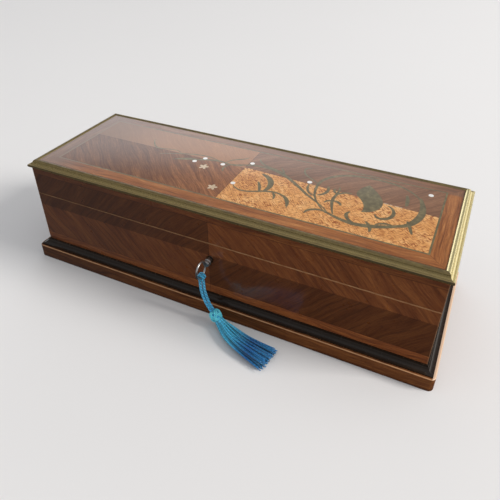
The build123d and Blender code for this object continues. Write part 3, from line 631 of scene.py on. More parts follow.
def silk_buttons(name, height, turn):
    """The buttons of one pad. They face up where turn is 1, and down where it is -1."""
    domes = []
    for x, y in buttons:
        if not domes:
            bpy.ops.object.select_all(action="DESELECT")
            bpy.ops.mesh.primitive_uv_sphere_add(segments=16, ring_count=10, radius=button_radius)
            dome = bpy.context.object
            dome.name = name
            dome.data.transform(Matrix.Diagonal((1, 1, button_flatness * turn, 1)))
            dome.data.transform(Matrix.Translation((0, 0, height)))
            if turn < 0:
                dome.data.flip_normals()
            dome.data.shade_smooth()
            shape = dome.data.copy()
        else:
            dome = bpy.data.objects.new(name, shape.copy())
            bpy.context.scene.collection.objects.link(dome)
        dome.data.transform(Matrix.Translation((x, y * turn, 0)))
        domes.append(dome)
    bpy.ops.object.select_all(action="DESELECT")
    for dome in domes:
        dome.select_set(True)
    bpy.context.view_layer.objects.active = domes[0]
    bpy.ops.object.join()
    return domes[0]


for body, name, face, turn in (("box", "floor_pad_buttons", floor_low[2], 1),
                               ("lid", "lid_pad_buttons", lid_high[2], -1)):
    piece = silk_buttons(name, face + (pad_edge + button_rise) * turn, turn)
    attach(piece, body)
    print(piece.name, "faces", len(piece.data.polygons))

# %% [markdown]
# Finishes come next. A finish is a recipe of nodes, and long recipes are hard to read as node
# calls, so two small helpers write them as ordinary sums. A Wire is one output of a node, and
# adding or multiplying wires adds the Math nodes.

# %% Wires
class Wire:
    """One output of a node, which can be used in sums."""

    def __init__(self, recipe, socket):
        self.recipe, self.socket = recipe, socket

    def sum(self, kind, *others):
        values = {i: value for i, value in enumerate((self, *others))}
        return self.recipe.node("Math", {"operation": kind}, values)

    def __add__(self, other):
        return self.sum("ADD", other)

    def __sub__(self, other):
        return self.sum("SUBTRACT", other)

    def __mul__(self, other):
        return self.sum("MULTIPLY", other)

    def __truediv__(self, other):
        return self.sum("DIVIDE", other)

    def __rsub__(self, other):
        return self.sum("MULTIPLY", -1) + other

    def __abs__(self):
        return self.sum("ABSOLUTE")

    def __gt__(self, other):
        return self.sum("GREATER_THAN", other)

    __radd__, __rmul__ = __add__, __mul__


print("sums that a wire can do:", "+ - * / > abs")

# %% [markdown]
# A Recipe is the node tree of one finish. Its node method adds any node, and the methods under
# it are short names for the few nodes that nearly every finish needs: noise, a smooth step, a
# colour ramp, a mix of two colours and a bump. What is the same all over goes straight onto
# the shader as a number.

# %% Recipes
class Recipe:
    """The nodes of one finish."""

    def __init__(self, tree, shader):
        self.tree, self.shader = tree, shader

    def node(self, kind, settings=None, inputs=None, output=0):
        node = self.tree.nodes.new("ShaderNode" + kind)
        for key, value in (settings or {}).items():
            if key == "stops":
                ramp = node.color_ramp.elements
                while len(ramp) < len(value):
                    ramp.new(0.5)
                for stop, (position, colour) in zip(ramp, value):
                    stop.position, stop.color = position, (*colour, 1)
            else:
                setattr(node, key, value)
        for key, value in (inputs or {}).items():
            if isinstance(value, Wire):
                self.tree.links.new(value.socket, node.inputs[key])
            else:
                node.inputs[key].default_value = value
        return Wire(self, node.outputs[output])

    def feed(self, **inputs):
        for key, wire in inputs.items():
            socket = self.shader.inputs[key.replace("_", " ")]
            self.tree.links.new(wire.socket, socket)

    def axes(self):
        """The place on the piece in millimetres, as three wires."""
        place = self.node("TexCoord", output="Object")
        return [self.node("SeparateXYZ", None, {0: place}, i) / mm for i in range(3)]

    def join(self, x, y, z=0.0):
        return self.node("CombineXYZ", None, {0: x, 1: y, 2: z})

    def noise(self, x, y, z=0.0, detail=2.0, rough=0.5):
        """Noise from 0 to 1. The arguments are places counted in patches of the noise."""
        values = {"Vector": self.join(x, y, z), "Scale": 1.0, "Detail": detail,
                  "Roughness": rough}
        return self.node("TexNoise", None, values)

    def step(self, value, low, high):
        """0 below low, 1 above high, and a smooth rise between them."""
        return self.node("MapRange", {"interpolation_type": "SMOOTHSTEP"},
                         {0: value, 1: low, 2: high, 3: 0.0, 4: 1.0})

    def ramp(self, value, *stops):
        return self.node("ValToRGB", {"stops": stops}, {0: value})

    def mix(self, factor, a, b, kind="MIX"):
        colours = [(*c[:3], 1) if isinstance(c, tuple) else c for c in (a, b)]
        return self.node("Mix", {"data_type": "RGBA", "blend_type": kind},
                         {0: factor, 6: colours[0], 7: colours[1]}, 2)

    def tint(self, colour, amount):
        """The colour made lighter or darker by a number that varies."""
        return self.mix(1.0, colour, self.join(amount, amount, amount), "MULTIPLY")

    def bump(self, height, depth):
        return self.node("Bump", None, {"Strength": 1.0, "Distance": depth, "Height": height})


def finish(name, **constants):
    """A new finish, with the numbers that stay the same all over set on its shader."""
    material = bpy.data.materials.new(name)
    material.use_nodes = True
    shader = material.node_tree.nodes["Principled BSDF"]
    for key, value in constants.items():
        shader.inputs[key.replace("_", " ")].default_value = value
    return material, Recipe(material.node_tree, shader)


finishes = {}
print("material slots that need a finish:", len(set(slot_of.values())))

# %% [markdown]
# Nearly all that shows of the box is polished wood. Its figure is long streaks of noise, at
# three sizes, which bend slowly as a tree does. Veins and pores are two more noises that are
# cut off at a level. Shellac polish is a clear coat over it, with slow waves in it.

# %% Grain and polish
def grain(recipe, across, along, seed, broad=8.0, streak=1.7, fibre=0.42):
    """Streaks of three sizes, veins and pores, which all run along one direction."""
    bend = recipe.noise(across / 16, along / 42, seed, 1.0)
    across = across + (bend - 0.5) * 9
    large = recipe.noise(across / broad, along / 90, seed + 1, 2.0)
    middle = recipe.noise(across / streak, along / 34, seed + 2, 2.0)
    small = recipe.noise(across / fibre, along / 9, seed + 3, 1.0)
    veins = recipe.step(recipe.noise(across / 2.6, along / 70, seed + 4, 1.0), 0.56, 0.66)
    pores = recipe.step(recipe.noise(across / 0.24, along / 2.6, seed + 5, 0.0), 0.66, 0.74)
    figure = (large - 0.5) * 0.6 + (middle - 0.5) * 0.65 + (small - 0.5) * 0.65 + 0.5
    return figure, veins, pores


def small_hollows(recipe, a, b, pores):
    """The slow waves that old polish has, with the pores sunk in it."""
    return recipe.bump(recipe.noise(a / 7, b / 7, 1.0, 1.0) * 2.0 - pores * 0.7, 0.02 * mm)


def polish(name, coat=1.0, gloss=1.36, haze=0.07):
    return finish(name, Coat_Weight=coat, Coat_Roughness=haze, Coat_IOR=gloss,
                  Specular_IOR_Level=0.12)


wall_x, wall_y = 148.0, 49.4
plinth_x, plinth_y = 154.8, 56.2
print("walls in mm:", 2 * wall_x, "by", 2 * wall_y, "plinth:", 2 * plinth_x, "by", 2 * plinth_y)

# %% [markdown]
# Rosewood is brown with nearly black veins, and its pores are short dark lines. The front is
# quarter-matched: four leaves from one block are opened like a book, so the veins run to the
# middle and away from it again. Measuring the place from the middle joints, without its sign,
# mirrors one pattern into all four leaves. Leaves that are turned over throw the light back
# differently, so two of the four are painted lighter, as a painted sheen. The level strip
# under the lid is painted darker, as shade under the brass, and the whole front is painted
# lighter towards the right, where the light falls.

# %% Rosewood
front_joint_x, front_joint_z = -0.6, 47.4
low_band_top, high_band_low = 21.6, 74.2


def rosewood(name, side, quartered):
    """Rosewood on a wall. side is 0 where X runs along it, and 1 where Y does."""
    material, recipe = polish(name, gloss=1.56, haze=0.15)
    axes = recipe.axes()
    along, height = axes[side], axes[2]
    level_figure, level_veins, level_pores = grain(recipe, height, along, 3.0 + side)
    if quartered:
        out, away = abs(along - front_joint_x), abs(height - front_joint_z)
        lean = radians(48)
        figure, veins, pores = grain(recipe, out * sin(lean) + away * cos(lean),
                                     away * sin(lean) - out * cos(lean), 11.0)
        band = (height > high_band_low) + (1 - (height > low_band_top))
        turned_over = (along - front_joint_x) * (height - front_joint_z) > 0
        # Two of the four leaves are painted lighter, as a painted sheen off the turned-over
        # leaves.
        painted_leaf_sheen = turned_over * 0.46 + 0.70
        figure = (figure - 0.5) * (turned_over * 0.1575 + 0.60) + 0.5
        figure = figure + (level_figure - figure) * band
        veins = veins + (level_veins - veins) * band
        pores = pores + (level_pores - pores) * band
        # The level strip at the top is painted darker than the one at the foot, as shade under
        # the lid's brass.
        tone_and_painted_light = painted_leaf_sheen + (1.72 - (height > high_band_low) * 0.7 - painted_leaf_sheen) * band
        # The front is painted darker on the left and lighter on the right, where the light falls.
        tone_and_painted_light = tone_and_painted_light * (recipe.step(along, -110.0, 30.0) * 0.36 + 0.68)
        joint = recipe.step(abs(along - front_joint_x), 0.22, 0.05)
        joint = joint + recipe.step(abs(height - low_band_top), 0.24, 0.06)
        joint = joint + recipe.step(abs(height - high_band_low), 0.24, 0.06)
    else:
        figure, veins, pores = level_figure, level_veins, level_pores
        tone_and_painted_light = recipe.noise(along / 60, height / 40, 5.0) + 0.5
        joint = veins * 0.0
    colour = recipe.ramp(figure, (0.14, (0.052, 0.013, 0.005)), (0.44, (0.128, 0.037, 0.011)),
                         (0.62, (0.188, 0.060, 0.016)), (0.90, (0.29, 0.103, 0.028)))
    colour = recipe.tint(colour, tone_and_painted_light)
    dark = (veins * 0.22).sum("MAXIMUM", pores * 0.40).sum("MAXIMUM", joint * 0.8)
    colour = recipe.mix(dark, colour, (0.012, 0.006, 0.005))
    end = (wall_x, wall_y)[side]
    corner = recipe.step(abs(along), end - 0.6, end - 0.1)
    worn = corner * (recipe.noise(height / 5, along / 5, 8.0, 2.0) * 0.9 + 0.2)
    colour = recipe.mix(worn * 0.8, colour, (0.40, 0.22, 0.11))
    cloud = recipe.noise(along / 9, height / 9, 2.0, 4.0)
    recipe.feed(Base_Color=colour, Roughness=cloud * 0.22 + 0.2 + worn * 0.2,
                Normal=small_hollows(recipe, along, height, pores))
    return material


finishes["front"] = rosewood("rosewood_quartered", 0, True)
finishes["back"] = rosewood("rosewood_back", 0, False)
finishes["end"] = rosewood("rosewood_end", 1, False)
print("rosewood finishes:", list(finishes))

# %% [markdown]
# The lid's banding is a strip of reddish wood on each side, with its grain along the strip.
# At a corner two strips meet in a mitre, so the side is chosen by comparing the distances to
# the two nearest edges, each counted in widths of its strip.

# %% The banding
panel_x, panel_y = 143.8, 45.2
band_x, band_y = 11.0, 10.6


def banding():
    material, recipe = polish("banding_wood")
    x, y = recipe.axes()[:2]
    from_end, from_side = (panel_x - abs(x)) / band_x, (panel_y - abs(y)) / band_y
    on_end = from_side > from_end
    mitre = recipe.step(abs(from_side - from_end), 0.03, 0.0)
    parts = [grain(recipe, y, x, 21.0, 6.0, 1.3, 0.36), grain(recipe, x, y, 31.0, 6.0, 1.3, 0.36)]
    figure, veins, pores = [a + (b - a) * on_end for a, b in zip(*parts)]
    colour = recipe.ramp(figure, (0.12, (0.13, 0.036, 0.012)), (0.44, (0.29, 0.100, 0.030)),
                         (0.64, (0.41, 0.158, 0.048)), (0.9, (0.58, 0.26, 0.090)))
    dark = (veins * 0.34).sum("MAXIMUM", pores * 0.4).sum("MAXIMUM", mitre * 0.75)
    colour = recipe.mix(dark, colour, (0.06, 0.018, 0.010))
    # The back and the left of the banding are painted greyer, as a painted reflection of haze.
    painted_haze_back, painted_haze_left = recipe.step(y, 34.0, 37.0), recipe.step(x, -96.0, -134.0)
    painted_haze = (painted_haze_back * 0.62).sum("MAXIMUM", painted_haze_left * 0.85)
    colour = recipe.mix(painted_haze, colour, recipe.tint((0.17, 0.095, 0.062, 1.0), figure + 0.5))
    edge = recipe.step((panel_x - abs(x)).sum("MINIMUM", panel_y - abs(y)), 1.3, 0.0)
    # Darker in a narrow, broken line along the brass moulding.
    dark_line_by_moulding = edge * recipe.noise(x / 4, y / 4, 6.0, 3.0)
    colour = recipe.mix(dark_line_by_moulding * 0.9, colour, (0.03, 0.014, 0.009))
    recipe.feed(Base_Color=colour, Roughness=recipe.noise(x / 12, y / 12, 1.0, 4.0) * 0.24 + 0.22,
                Normal=small_hollows(recipe, x, y, pores))
    return material


finishes["banding_veneer"] = banding()
print("banding in mm:", band_x, "at the ends and", band_y, "along the sides")

# %% [markdown]
# The panel inside the brass line is made of four leaves that meet in a cross. The two on the
# front side are lighter, and the one on the right is a golden burr with fine dark strokes
# that cross each other. The leaves behind are darker and striped. One tree makes all four,
# with a mask for each.

# %% The panel's four leaves
cross_x, cross_left_y, cross_right_y, cross_end_y = -2.4, 9.0, 10.4, 4.6
field_end_x = 132.8


def strokes(recipe, x, y, seed, width=0.60, length=4.6):
    """Short fine strokes along both diagonals."""
    rise, fall = (x + y) * sqrt(0.5), (x - y) * sqrt(0.5)
    one = recipe.noise(rise / width, fall / length, seed, 1.0)
    other = recipe.noise(fall / width, rise / length, seed + 1, 1.0)
    return recipe.step(one.sum("MAXIMUM", other), 0.52, 0.66)


def panel():
    material, recipe = polish("panel_wood")
    x, y = recipe.axes()[:2]
    slope = (cross_end_y - cross_right_y) / (field_end_x - cross_x)
    right = x > cross_x
    joint_y = right * ((x - cross_x) * slope + (cross_right_y - cross_left_y)) + cross_left_y
    back = y > joint_y
    rise, fall = (x + y) * sqrt(0.5), (x - y) * sqrt(0.5)
    hatch = strokes(recipe, x, y, 41.0)
    cloud = recipe.noise(x / 22, y / 16, 43.0, 3.0, 0.6)
    feather, feather_veins, pores = grain(recipe, rise, fall, 45.0, 5.0, 1.2, 0.36)
    mirror, mirror_veins = grain(recipe, fall, rise, 51.0, 6.0, 1.5, 0.40)[:2]

    gold = recipe.ramp(cloud * 0.6 + recipe.noise(rise / 2.2, fall / 9, 57.0) * 0.4,
                       (0.30, (0.56, 0.235, 0.065)), (0.50, (0.76, 0.37, 0.125)),
                       (0.70, (0.92, 0.56, 0.24)))
    bold = recipe.step(recipe.noise(x / 15, y / 12, 59.0, 1.0), 0.42, 0.60) * 0.3 + 0.68
    gold = recipe.mix(hatch * bold, gold, (0.26, 0.060, 0.015))
    ripe = recipe.step(x, -95.0, 0.0)
    brown = recipe.ramp(feather, (0.16, (0.095, 0.029, 0.011)), (0.45, (0.215, 0.080, 0.030)),
                        (0.66, (0.325, 0.130, 0.048)), (0.9, (0.48, 0.22, 0.086)))
    brown = recipe.tint(brown, ripe * 0.55 + 0.62)
    brown = recipe.mix((hatch * 0.30).sum("MAXIMUM", feather_veins * 0.3), brown,
                       (0.07, 0.020, 0.010))
    dim = recipe.ramp(mirror, (0.16, (0.135, 0.056, 0.028)), (0.45, (0.225, 0.104, 0.052)),
                      (0.68, (0.300, 0.146, 0.074)), (0.9, (0.41, 0.21, 0.10)))
    dim = recipe.mix((hatch * 0.22).sum("MAXIMUM", mirror_veins * 0.25), dim,
                     (0.050, 0.020, 0.013))
    far_end = recipe.step(x, -70.0, -128.0)
    pale = recipe.mix(0.62, brown, (0.40, 0.20, 0.10))
    pale = recipe.tint(pale, 1.04 - far_end * 0.36)
    front_leaves = recipe.mix(right, brown, gold)
    back_leaves = recipe.mix(right, pale, dim)
    colour = recipe.mix(back, front_leaves, back_leaves)
    joint = recipe.step(abs(x - cross_x), 0.22, 0.06).sum(
        "MAXIMUM", recipe.step(abs(y - joint_y), 0.22, 0.06))
    colour = recipe.mix(joint * 0.75, colour, (0.05, 0.02, 0.012))
    filler = recipe.step(abs(y - joint_y), 0.5, 0.3) * recipe.step(abs(x - 105.0), 8.0, 7.0)
    filler = filler * recipe.step(recipe.noise(x / 2.2, 0.0, 58.0, 1.0), 0.44, 0.52)
    colour = recipe.mix(filler * 0.7, colour, (0.62, 0.50, 0.36))
    recipe.feed(Base_Color=colour, Roughness=cloud * 0.2 + 0.24,
                Normal=small_hollows(recipe, x, y, pores))
    return material


finishes["field_veneer"] = panel()
print("the four leaves meet at, in mm:", cross_x, cross_left_y)

# %% [markdown]
# The plinth is veneered in the same wood as the walls, with its grain level. Its top arris is
# rubbed down to bright orange wood. The plinth is painted lighter towards the right, where the
# light falls on it, with a painted glare on the top of its right end.

# %% The plinth
def plinth():
    material, recipe = polish("plinth_wood", 0.8)
    x, y, z = recipe.axes()
    on_end = abs(x) > plinth_x - 1.8
    parts = [grain(recipe, z, x, 61.0, 5.0, 1.4), grain(recipe, z, y, 65.0, 5.0, 1.4)]
    figure, veins, pores = [a + (b - a) * on_end for a, b in zip(*parts)]
    colour = recipe.ramp(figure, (0.16, (0.055, 0.017, 0.006)), (0.45, (0.135, 0.043, 0.012)),
                         (0.66, (0.21, 0.074, 0.021)), (0.9, (0.33, 0.13, 0.040)))
    # Painted light: lighter towards the right, where the light falls, and darker on the left.
    colour = recipe.tint(colour, recipe.step(x, -140.0, 60.0) * 0.4 + 0.68)
    colour = recipe.mix((veins * 0.3).sum("MAXIMUM", pores * 0.5), colour, (0.014, 0.007, 0.005))
    long_edge = recipe.step(abs(y), plinth_y - 0.9, plinth_y - 0.3)
    end_edge = recipe.step(abs(x), plinth_x - 1.1, plinth_x - 0.5)
    arris = recipe.step(z, 9.8, 10.25) * long_edge.sum("MAXIMUM", end_edge)
    arris = arris * (recipe.noise(x / 5, y / 5, 2.0, 4.0) * 0.9 + 0.45)
    colour = recipe.mix(arris.sum("MINIMUM", 1.0), colour, (0.62, 0.33, 0.155))
    # A painted glare on the top of the right end.
    painted_glare = recipe.step(x, plinth_x - 2.2, plinth_x - 1.6) * recipe.step(z, 9.6, 10.2)
    colour = recipe.mix(painted_glare * 0.9, colour, (0.86, 0.60, 0.42))
    foot = recipe.step(z, 2.0, 0.3) * recipe.noise(x / 6, z / 2, 4.0, 3.0)
    colour = recipe.mix(foot * 0.9, colour, (0.03, 0.016, 0.010))
    recipe.feed(Base_Color=colour, Roughness=recipe.noise(x / 8, z / 8, 1.0, 4.0) * 0.3 + 0.22,
                Normal=small_hollows(recipe, x, z, pores))
    return material


finishes["plinth_veneer"] = plinth()
print("finishes so far:", len(finishes))

# %% [markdown]
# The light edging along the seam is one pale wood, painted darker towards the left and lighter
# towards the right, where the light falls. The base moulding is stained black, with brown where
# the stain has worn off its corners. The boards inside are plain wood without any polish.

# %% Edging, black moulding and plain boards
def edging():
    material, recipe = polish("light_edging_wood", 0.6)
    x, y, z = recipe.axes()
    figure = recipe.noise((x + y) / 6, z / 0.5, 71.0, 3.0, 0.6)
    colour = recipe.ramp(figure, (0.30, (0.28, 0.11, 0.045)), (0.52, (0.52, 0.255, 0.11)),
                         (0.72, (0.74, 0.44, 0.22)))
    # Painted shade: darker towards the left, lighter on the right, where the light falls.
    colour = recipe.tint(colour, recipe.step(x, -120.0, 90.0) * 0.36 + 0.34)
    recipe.feed(Base_Color=colour, Roughness=figure * 0.3 + 0.25,
                Normal=recipe.bump(figure, 0.02 * mm))
    return material


def black_polish():
    material, recipe = polish("ebonised_moulding", 0.4)
    x, y, z = recipe.axes()
    long_grain = recipe.noise((x + y) / 14, z / 0.8, 75.0, 3.0, 0.6)
    rub = recipe.step(recipe.noise(x / 3, y / 3, 77.0, 4.0, 0.65), 0.50, 0.72)
    edge = recipe.step(z, 11.5, 10.6).sum("MAXIMUM", recipe.step(z, 14.2, 14.8))
    colour = recipe.mix(long_grain, (0.010, 0.007, 0.005), (0.030, 0.018, 0.011))
    colour = recipe.mix(rub * edge * 0.35, colour, (0.12, 0.06, 0.03))
    recipe.feed(Base_Color=colour, Roughness=rub * 0.25 + 0.2,
                Normal=recipe.bump(long_grain, 0.03 * mm))
    return material


def plain_wood():
    material, recipe = finish("carcass_wood", Specular_IOR_Level=0.3)
    x, y, z = recipe.axes()
    figure, veins, pores = grain(recipe, y + z, x, 81.0, 6.0, 1.6)
    colour = recipe.ramp(figure, (0.18, (0.27, 0.14, 0.065)), (0.48, (0.42, 0.25, 0.13)),
                         (0.80, (0.58, 0.39, 0.22)))
    colour = recipe.mix((veins * 0.35).sum("MAXIMUM", pores * 0.4), colour, (0.16, 0.075, 0.035))
    recipe.feed(Base_Color=colour, Roughness=figure * 0.2 + 0.5,
                Normal=recipe.bump(figure, 0.05 * mm))
    return material


finishes["light_edging"] = edging()
finishes["ebonised_wood"] = black_polish()
finishes["carcass_wood"] = plain_wood()
print("finishes so far:", len(finishes))

# %% [markdown]
# The brass moulding is old, with brown and olive tarnish in blotches. Painted light and shade
# share the tarnish's mask: the height on the moulding gives painted bands across its profile,
# with more painted light in the hollow and on the lip than on the rim, and the right-hand length
# is painted brighter, where the light falls on it. Noise breaks their edge. The tarnish and the
# painted shade are rougher than the metal, and less metallic.

# %% The brass moulding
def moulding_brass():
    material, recipe = finish("moulding_brass", Specular_IOR_Level=0.5)
    x, y, z = recipe.axes()
    from_end, from_side = abs(x) - wall_x, abs(y) - wall_y
    blotch = recipe.noise(x / 3.4, y / 3.4, z / 1.2, 5.0, 0.62)
    fine = recipe.noise(x / 0.7, y / 0.7, z / 0.7, 2.0)
    # rim, hollow and lip give painted light and shade across the profile, through bright.
    rim = recipe.step(z, 83.9, 84.3)
    hollow = recipe.step(z, 81.3, 81.9) * (1 - rim)
    lip = 1 - recipe.step(z, 80.7, 81.2)
    bright = hollow * 0.75 + lip * 0.6 + rim * 0.35
    # The right-hand length is painted brighter, where the light falls on it.
    painted_light_right_end = recipe.step((x - wall_x) - from_side, -0.1, 0.1)
    bright = bright + painted_light_right_end * 0.5
    # This mask is real tarnish in blotches together with the painted shade.
    tarnish_and_painted_shade = recipe.step(bright + (blotch - 0.5) * 0.9, 0.85, 0.0)
    # The brass colour is painted lighter on the right-hand length.
    brass_with_painted_light = recipe.mix(painted_light_right_end, (0.29, 0.215, 0.083), (0.78, 0.66, 0.34))
    colour = recipe.mix(tarnish_and_painted_shade, brass_with_painted_light, (0.080, 0.054, 0.022))
    colour = recipe.mix(recipe.step(fine, 0.58, 0.74) * 0.45, colour, (0.11, 0.095, 0.045))
    out = from_end.sum("MAXIMUM", from_side)
    scratch = recipe.noise((x + y) / 9, z / 0.16, out / 0.16, 1.0)
    recipe.feed(Base_Color=colour, Metallic=0.85 - tarnish_and_painted_shade * 0.55 - hollow * 0.3,
                Roughness=tarnish_and_painted_shade * 0.28 + 0.26 + (scratch - 0.5) * 0.08,
                Normal=recipe.bump(scratch * 0.2 + blotch * 0.9, 0.04 * mm))
    return material


finishes["moulding_brass"] = moulding_brass()
print("finishes so far:", len(finishes))

# %% [markdown]
# The brass in the lid's top is let into the wood and polished over with it, so it is brown and
# dull under a clear coat. The brass of the lock and the hinges is filed, and stained in spots.

# %% Brass in the lid and in the lock
def inlay_brass():
    material, recipe = finish("inlay_brass", Coat_Weight=0.7, Coat_Roughness=0.08)
    x, y = recipe.axes()[:2]
    blotch = recipe.noise(x / 4, y / 4, 91.0, 4.0, 0.6)
    fine = recipe.noise(x / 0.5, y / 0.5, 93.0, 2.0)
    colour = recipe.ramp(blotch, (0.30, (0.105, 0.078, 0.034)), (0.52, (0.165, 0.130, 0.056)),
                         (0.75, (0.27, 0.21, 0.095)))
    colour = recipe.mix(recipe.step(fine, 0.58, 0.72) * 0.45, colour, (0.06, 0.045, 0.024))
    # Towards the left end the brass is painted greyer and duller, as a painted reflection of
    # haze.
    dull = recipe.step(x, -100.0, -128.0)
    colour = recipe.mix(dull * 0.8, colour, (0.175, 0.105, 0.060))
    recipe.feed(Base_Color=colour, Metallic=blotch * 0.2 + 0.2 - dull * 0.2,
                Roughness=fine * 0.25 + 0.36,
                Normal=recipe.bump(fine * 0.4 + blotch, 0.03 * mm))
    return material


def lock_brass():
    material, recipe = finish("lock_brass", Specular_IOR_Level=0.5)
    x, y, z = recipe.axes()
    filed = recipe.noise(x / 12, y / 0.12, z / 0.12, 2.0)
    stain = recipe.step(recipe.noise(x / 5, y / 5, z / 5, 5.0, 0.6), 0.45, 0.75)
    colour = recipe.mix(stain, (0.72, 0.54, 0.25), (0.34, 0.22, 0.09))
    recipe.feed(Base_Color=colour, Metallic=1.0 - stain * 0.25,
                Roughness=filed * 0.22 + 0.2 + stain * 0.2,
                Normal=recipe.bump(filed, 0.02 * mm))
    return material


finishes["inlay_brass"] = inlay_brass()
finishes["lock_brass"] = lock_brass()
print("finishes so far:", len(finishes))

# %% [markdown]
# The key is steel that a hand has worn bright, with dark pits where it hasn't been touched.
# Mother of pearl has soft clouds of pink and green in its white. The two flowers are a pale
# wood with a fine grain.

# %% Steel, pearl and the pale flowers
def key_steel():
    material, recipe = finish("key_steel", Specular_IOR_Level=0.5)
    x, y, z = recipe.axes()
    pits = recipe.step(recipe.noise(x / 0.9, y / 0.9, z / 0.9, 5.0, 0.62), 0.50, 0.70)
    turned = recipe.noise(x / 3, y / 0.10, z / 3, 2.0)
    colour = recipe.mix(pits, (0.52, 0.51, 0.50), (0.20, 0.17, 0.15))
    recipe.feed(Base_Color=colour, Metallic=1.0 - pits * 0.3, Roughness=pits * 0.3 + 0.32,
                Normal=recipe.bump(turned * 0.4 - pits, 0.03 * mm))
    return material


def pearl():
    material, recipe = finish("mother_of_pearl", Coat_Weight=1.0, Coat_Roughness=0.05)
    x, y = recipe.axes()[:2]
    cloud = recipe.noise(x / 1.1, y / 1.6, 95.0, 3.0, 0.6)
    colour = recipe.ramp(cloud, (0.30, (0.72, 0.80, 0.76)), (0.48, (0.90, 0.87, 0.80)),
                         (0.62, (0.86, 0.76, 0.76)), (0.80, (0.93, 0.92, 0.88)))
    recipe.feed(Base_Color=colour, Roughness=cloud * 0.2 + 0.15,
                Normal=recipe.bump(cloud, 0.02 * mm))
    return material


def pale_flowers():
    material, recipe = polish("flower_wood")
    x, y = recipe.axes()[:2]
    figure = grain(recipe, x, y, 97.0, 3.0, 0.8, 0.3)[0]
    colour = recipe.ramp(figure, (0.15, (0.44, 0.31, 0.19)), (0.55, (0.64, 0.50, 0.35)),
                         (0.9, (0.78, 0.68, 0.52)))
    recipe.feed(Base_Color=colour, Roughness=figure * 0.2 + 0.25,
                Normal=recipe.bump(figure, 0.02 * mm))
    return material


finishes["key_steel"] = key_steel()
finishes["pearl"] = pearl()
finishes["flowers"] = pale_flowers()
print("finishes so far:", len(finishes))

# %% [markdown]
# Satin lining has a very fine weave with long floats, so it shines along one direction and
# its creases look soft. It has faded a little, in clouds.

# %% The lining's silk
def lining_silk():
    material, recipe = finish("silk_lining", Sheen_Weight=0.35, Sheen_Roughness=0.35,
                              Specular_IOR_Level=0.45)
    x, y, z = recipe.axes()
    warp = recipe.noise((x + y) / 0.22, z / 3.0 + y / 3.0, 101.0, 1.0)
    weft = recipe.noise((y - x) / 2.6, (y + z) / 0.26, 103.0, 1.0)
    cloud = recipe.noise(x / 26, y / 26, z / 26, 3.0)
    fade = cloud * 0.7 + warp * 0.3
    colour = recipe.ramp(fade, (0.30, (0.22, 0.36, 0.50)), (0.52, (0.32, 0.47, 0.60)),
                         (0.72, (0.44, 0.58, 0.68)))
    recipe.feed(Base_Color=colour, Roughness=weft * 0.2 + 0.3,
                Normal=recipe.bump(warp + weft, 0.03 * mm))
    return material


finishes["silk_lining"] = lining_silk()
print("finishes so far:", len(finishes))

# %% [markdown]
# The tassel's silk is brighter. Each strand carries its own shade in an attribute, so that
# neighbours differ, and a sine wave round the strand and along it draws the twist of its ply,
# in bumps and in painted shade. The skirt turns from light blue near the head to a deep blue
# that is painted shade where the threads have less light, and a finish says at which places
# along X its light colour goes over into its deep one.

# %% The tassel's silk
def tassel_silk(name, light, deep, shading_from, shading_to, twists, contrast):
    material, recipe = finish(name, Sheen_Weight=0.9, Sheen_Roughness=0.4,
                              Sheen_Tint=(0.15, 0.80, 1.0, 1.0), Specular_IOR_Level=0.65,
                              Coat_Weight=0.35, Coat_Roughness=0.22)
    x, y, z = recipe.axes()
    chart = recipe.node("UVMap")
    run, round_it = (recipe.node("SeparateXYZ", None, {0: chart}, i) for i in (0, 1))
    shade = recipe.node("Attribute", {"attribute_name": "shade"}, output="Fac")
    wobble = recipe.noise(x / 3, y / 3, z / 3, 2.0)
    # depth paints the deep blue as shade where the threads have less light.
    depth = recipe.step(x + (wobble - 0.5) * 9, shading_from, shading_to)
    depth = depth - recipe.step(x, 42.0, 52.0) * 0.14
    colour = recipe.mix(depth, light, deep)
    # The shade attribute gives each thread its own dye, and a braid's core its painted shade.
    dye_and_core_shade = 1 - (1 - recipe.step(shade, -0.5, 0.1)) * contrast
    # ply paints light and shade along the twist, and it is a bump as well.
    ply = ((round_it + run * twists) * (2 * pi)).sum("SINE")
    colour = recipe.tint(colour, dye_and_core_shade * (ply * 0.16 + 1.0) + (wobble - 0.5) * 0.2)
    recipe.feed(Base_Color=colour, Roughness=wobble * 0.2 + 0.2,
                Normal=recipe.bump(ply, 0.05 * mm))
    return material


bright = ((0.12, 0.62, 1.0), (0.06, 0.56, 1.0))
pale_knot = ((0.20, 0.88, 1.0), (0.18, 0.86, 1.0))
# The head's core is painted darker, as shade in the gaps of the knot.
core_painted_shade = ((0.02, 0.34, 0.66), (0.02, 0.32, 0.64))
skirt_blues = ((0.11, 0.68, 1.0), (0.004, 0.110, 0.40))
finishes["cord"] = tassel_silk("cord_silk", *bright, 0, 12, 60, 0.85)
finishes["head"] = tassel_silk("head_silk", *pale_knot, 4, 12, 90, 0.15)
finishes["core"] = tassel_silk("core_silk", *core_painted_shade, 4, 12, 30, 0.1)
finishes["skirt"] = tassel_silk("skirt_silk", *skirt_blues, 22, 44, 20, 0.82)
print("finishes:", len(finishes))

# %% [markdown]
# Each piece of the frame has a slot that names its material, and most finishes go by that
# name. The veneers on the walls differ by their side, so a short list sorts them out. The new
# pieces have a list of their own, and what isn't on it is lining.

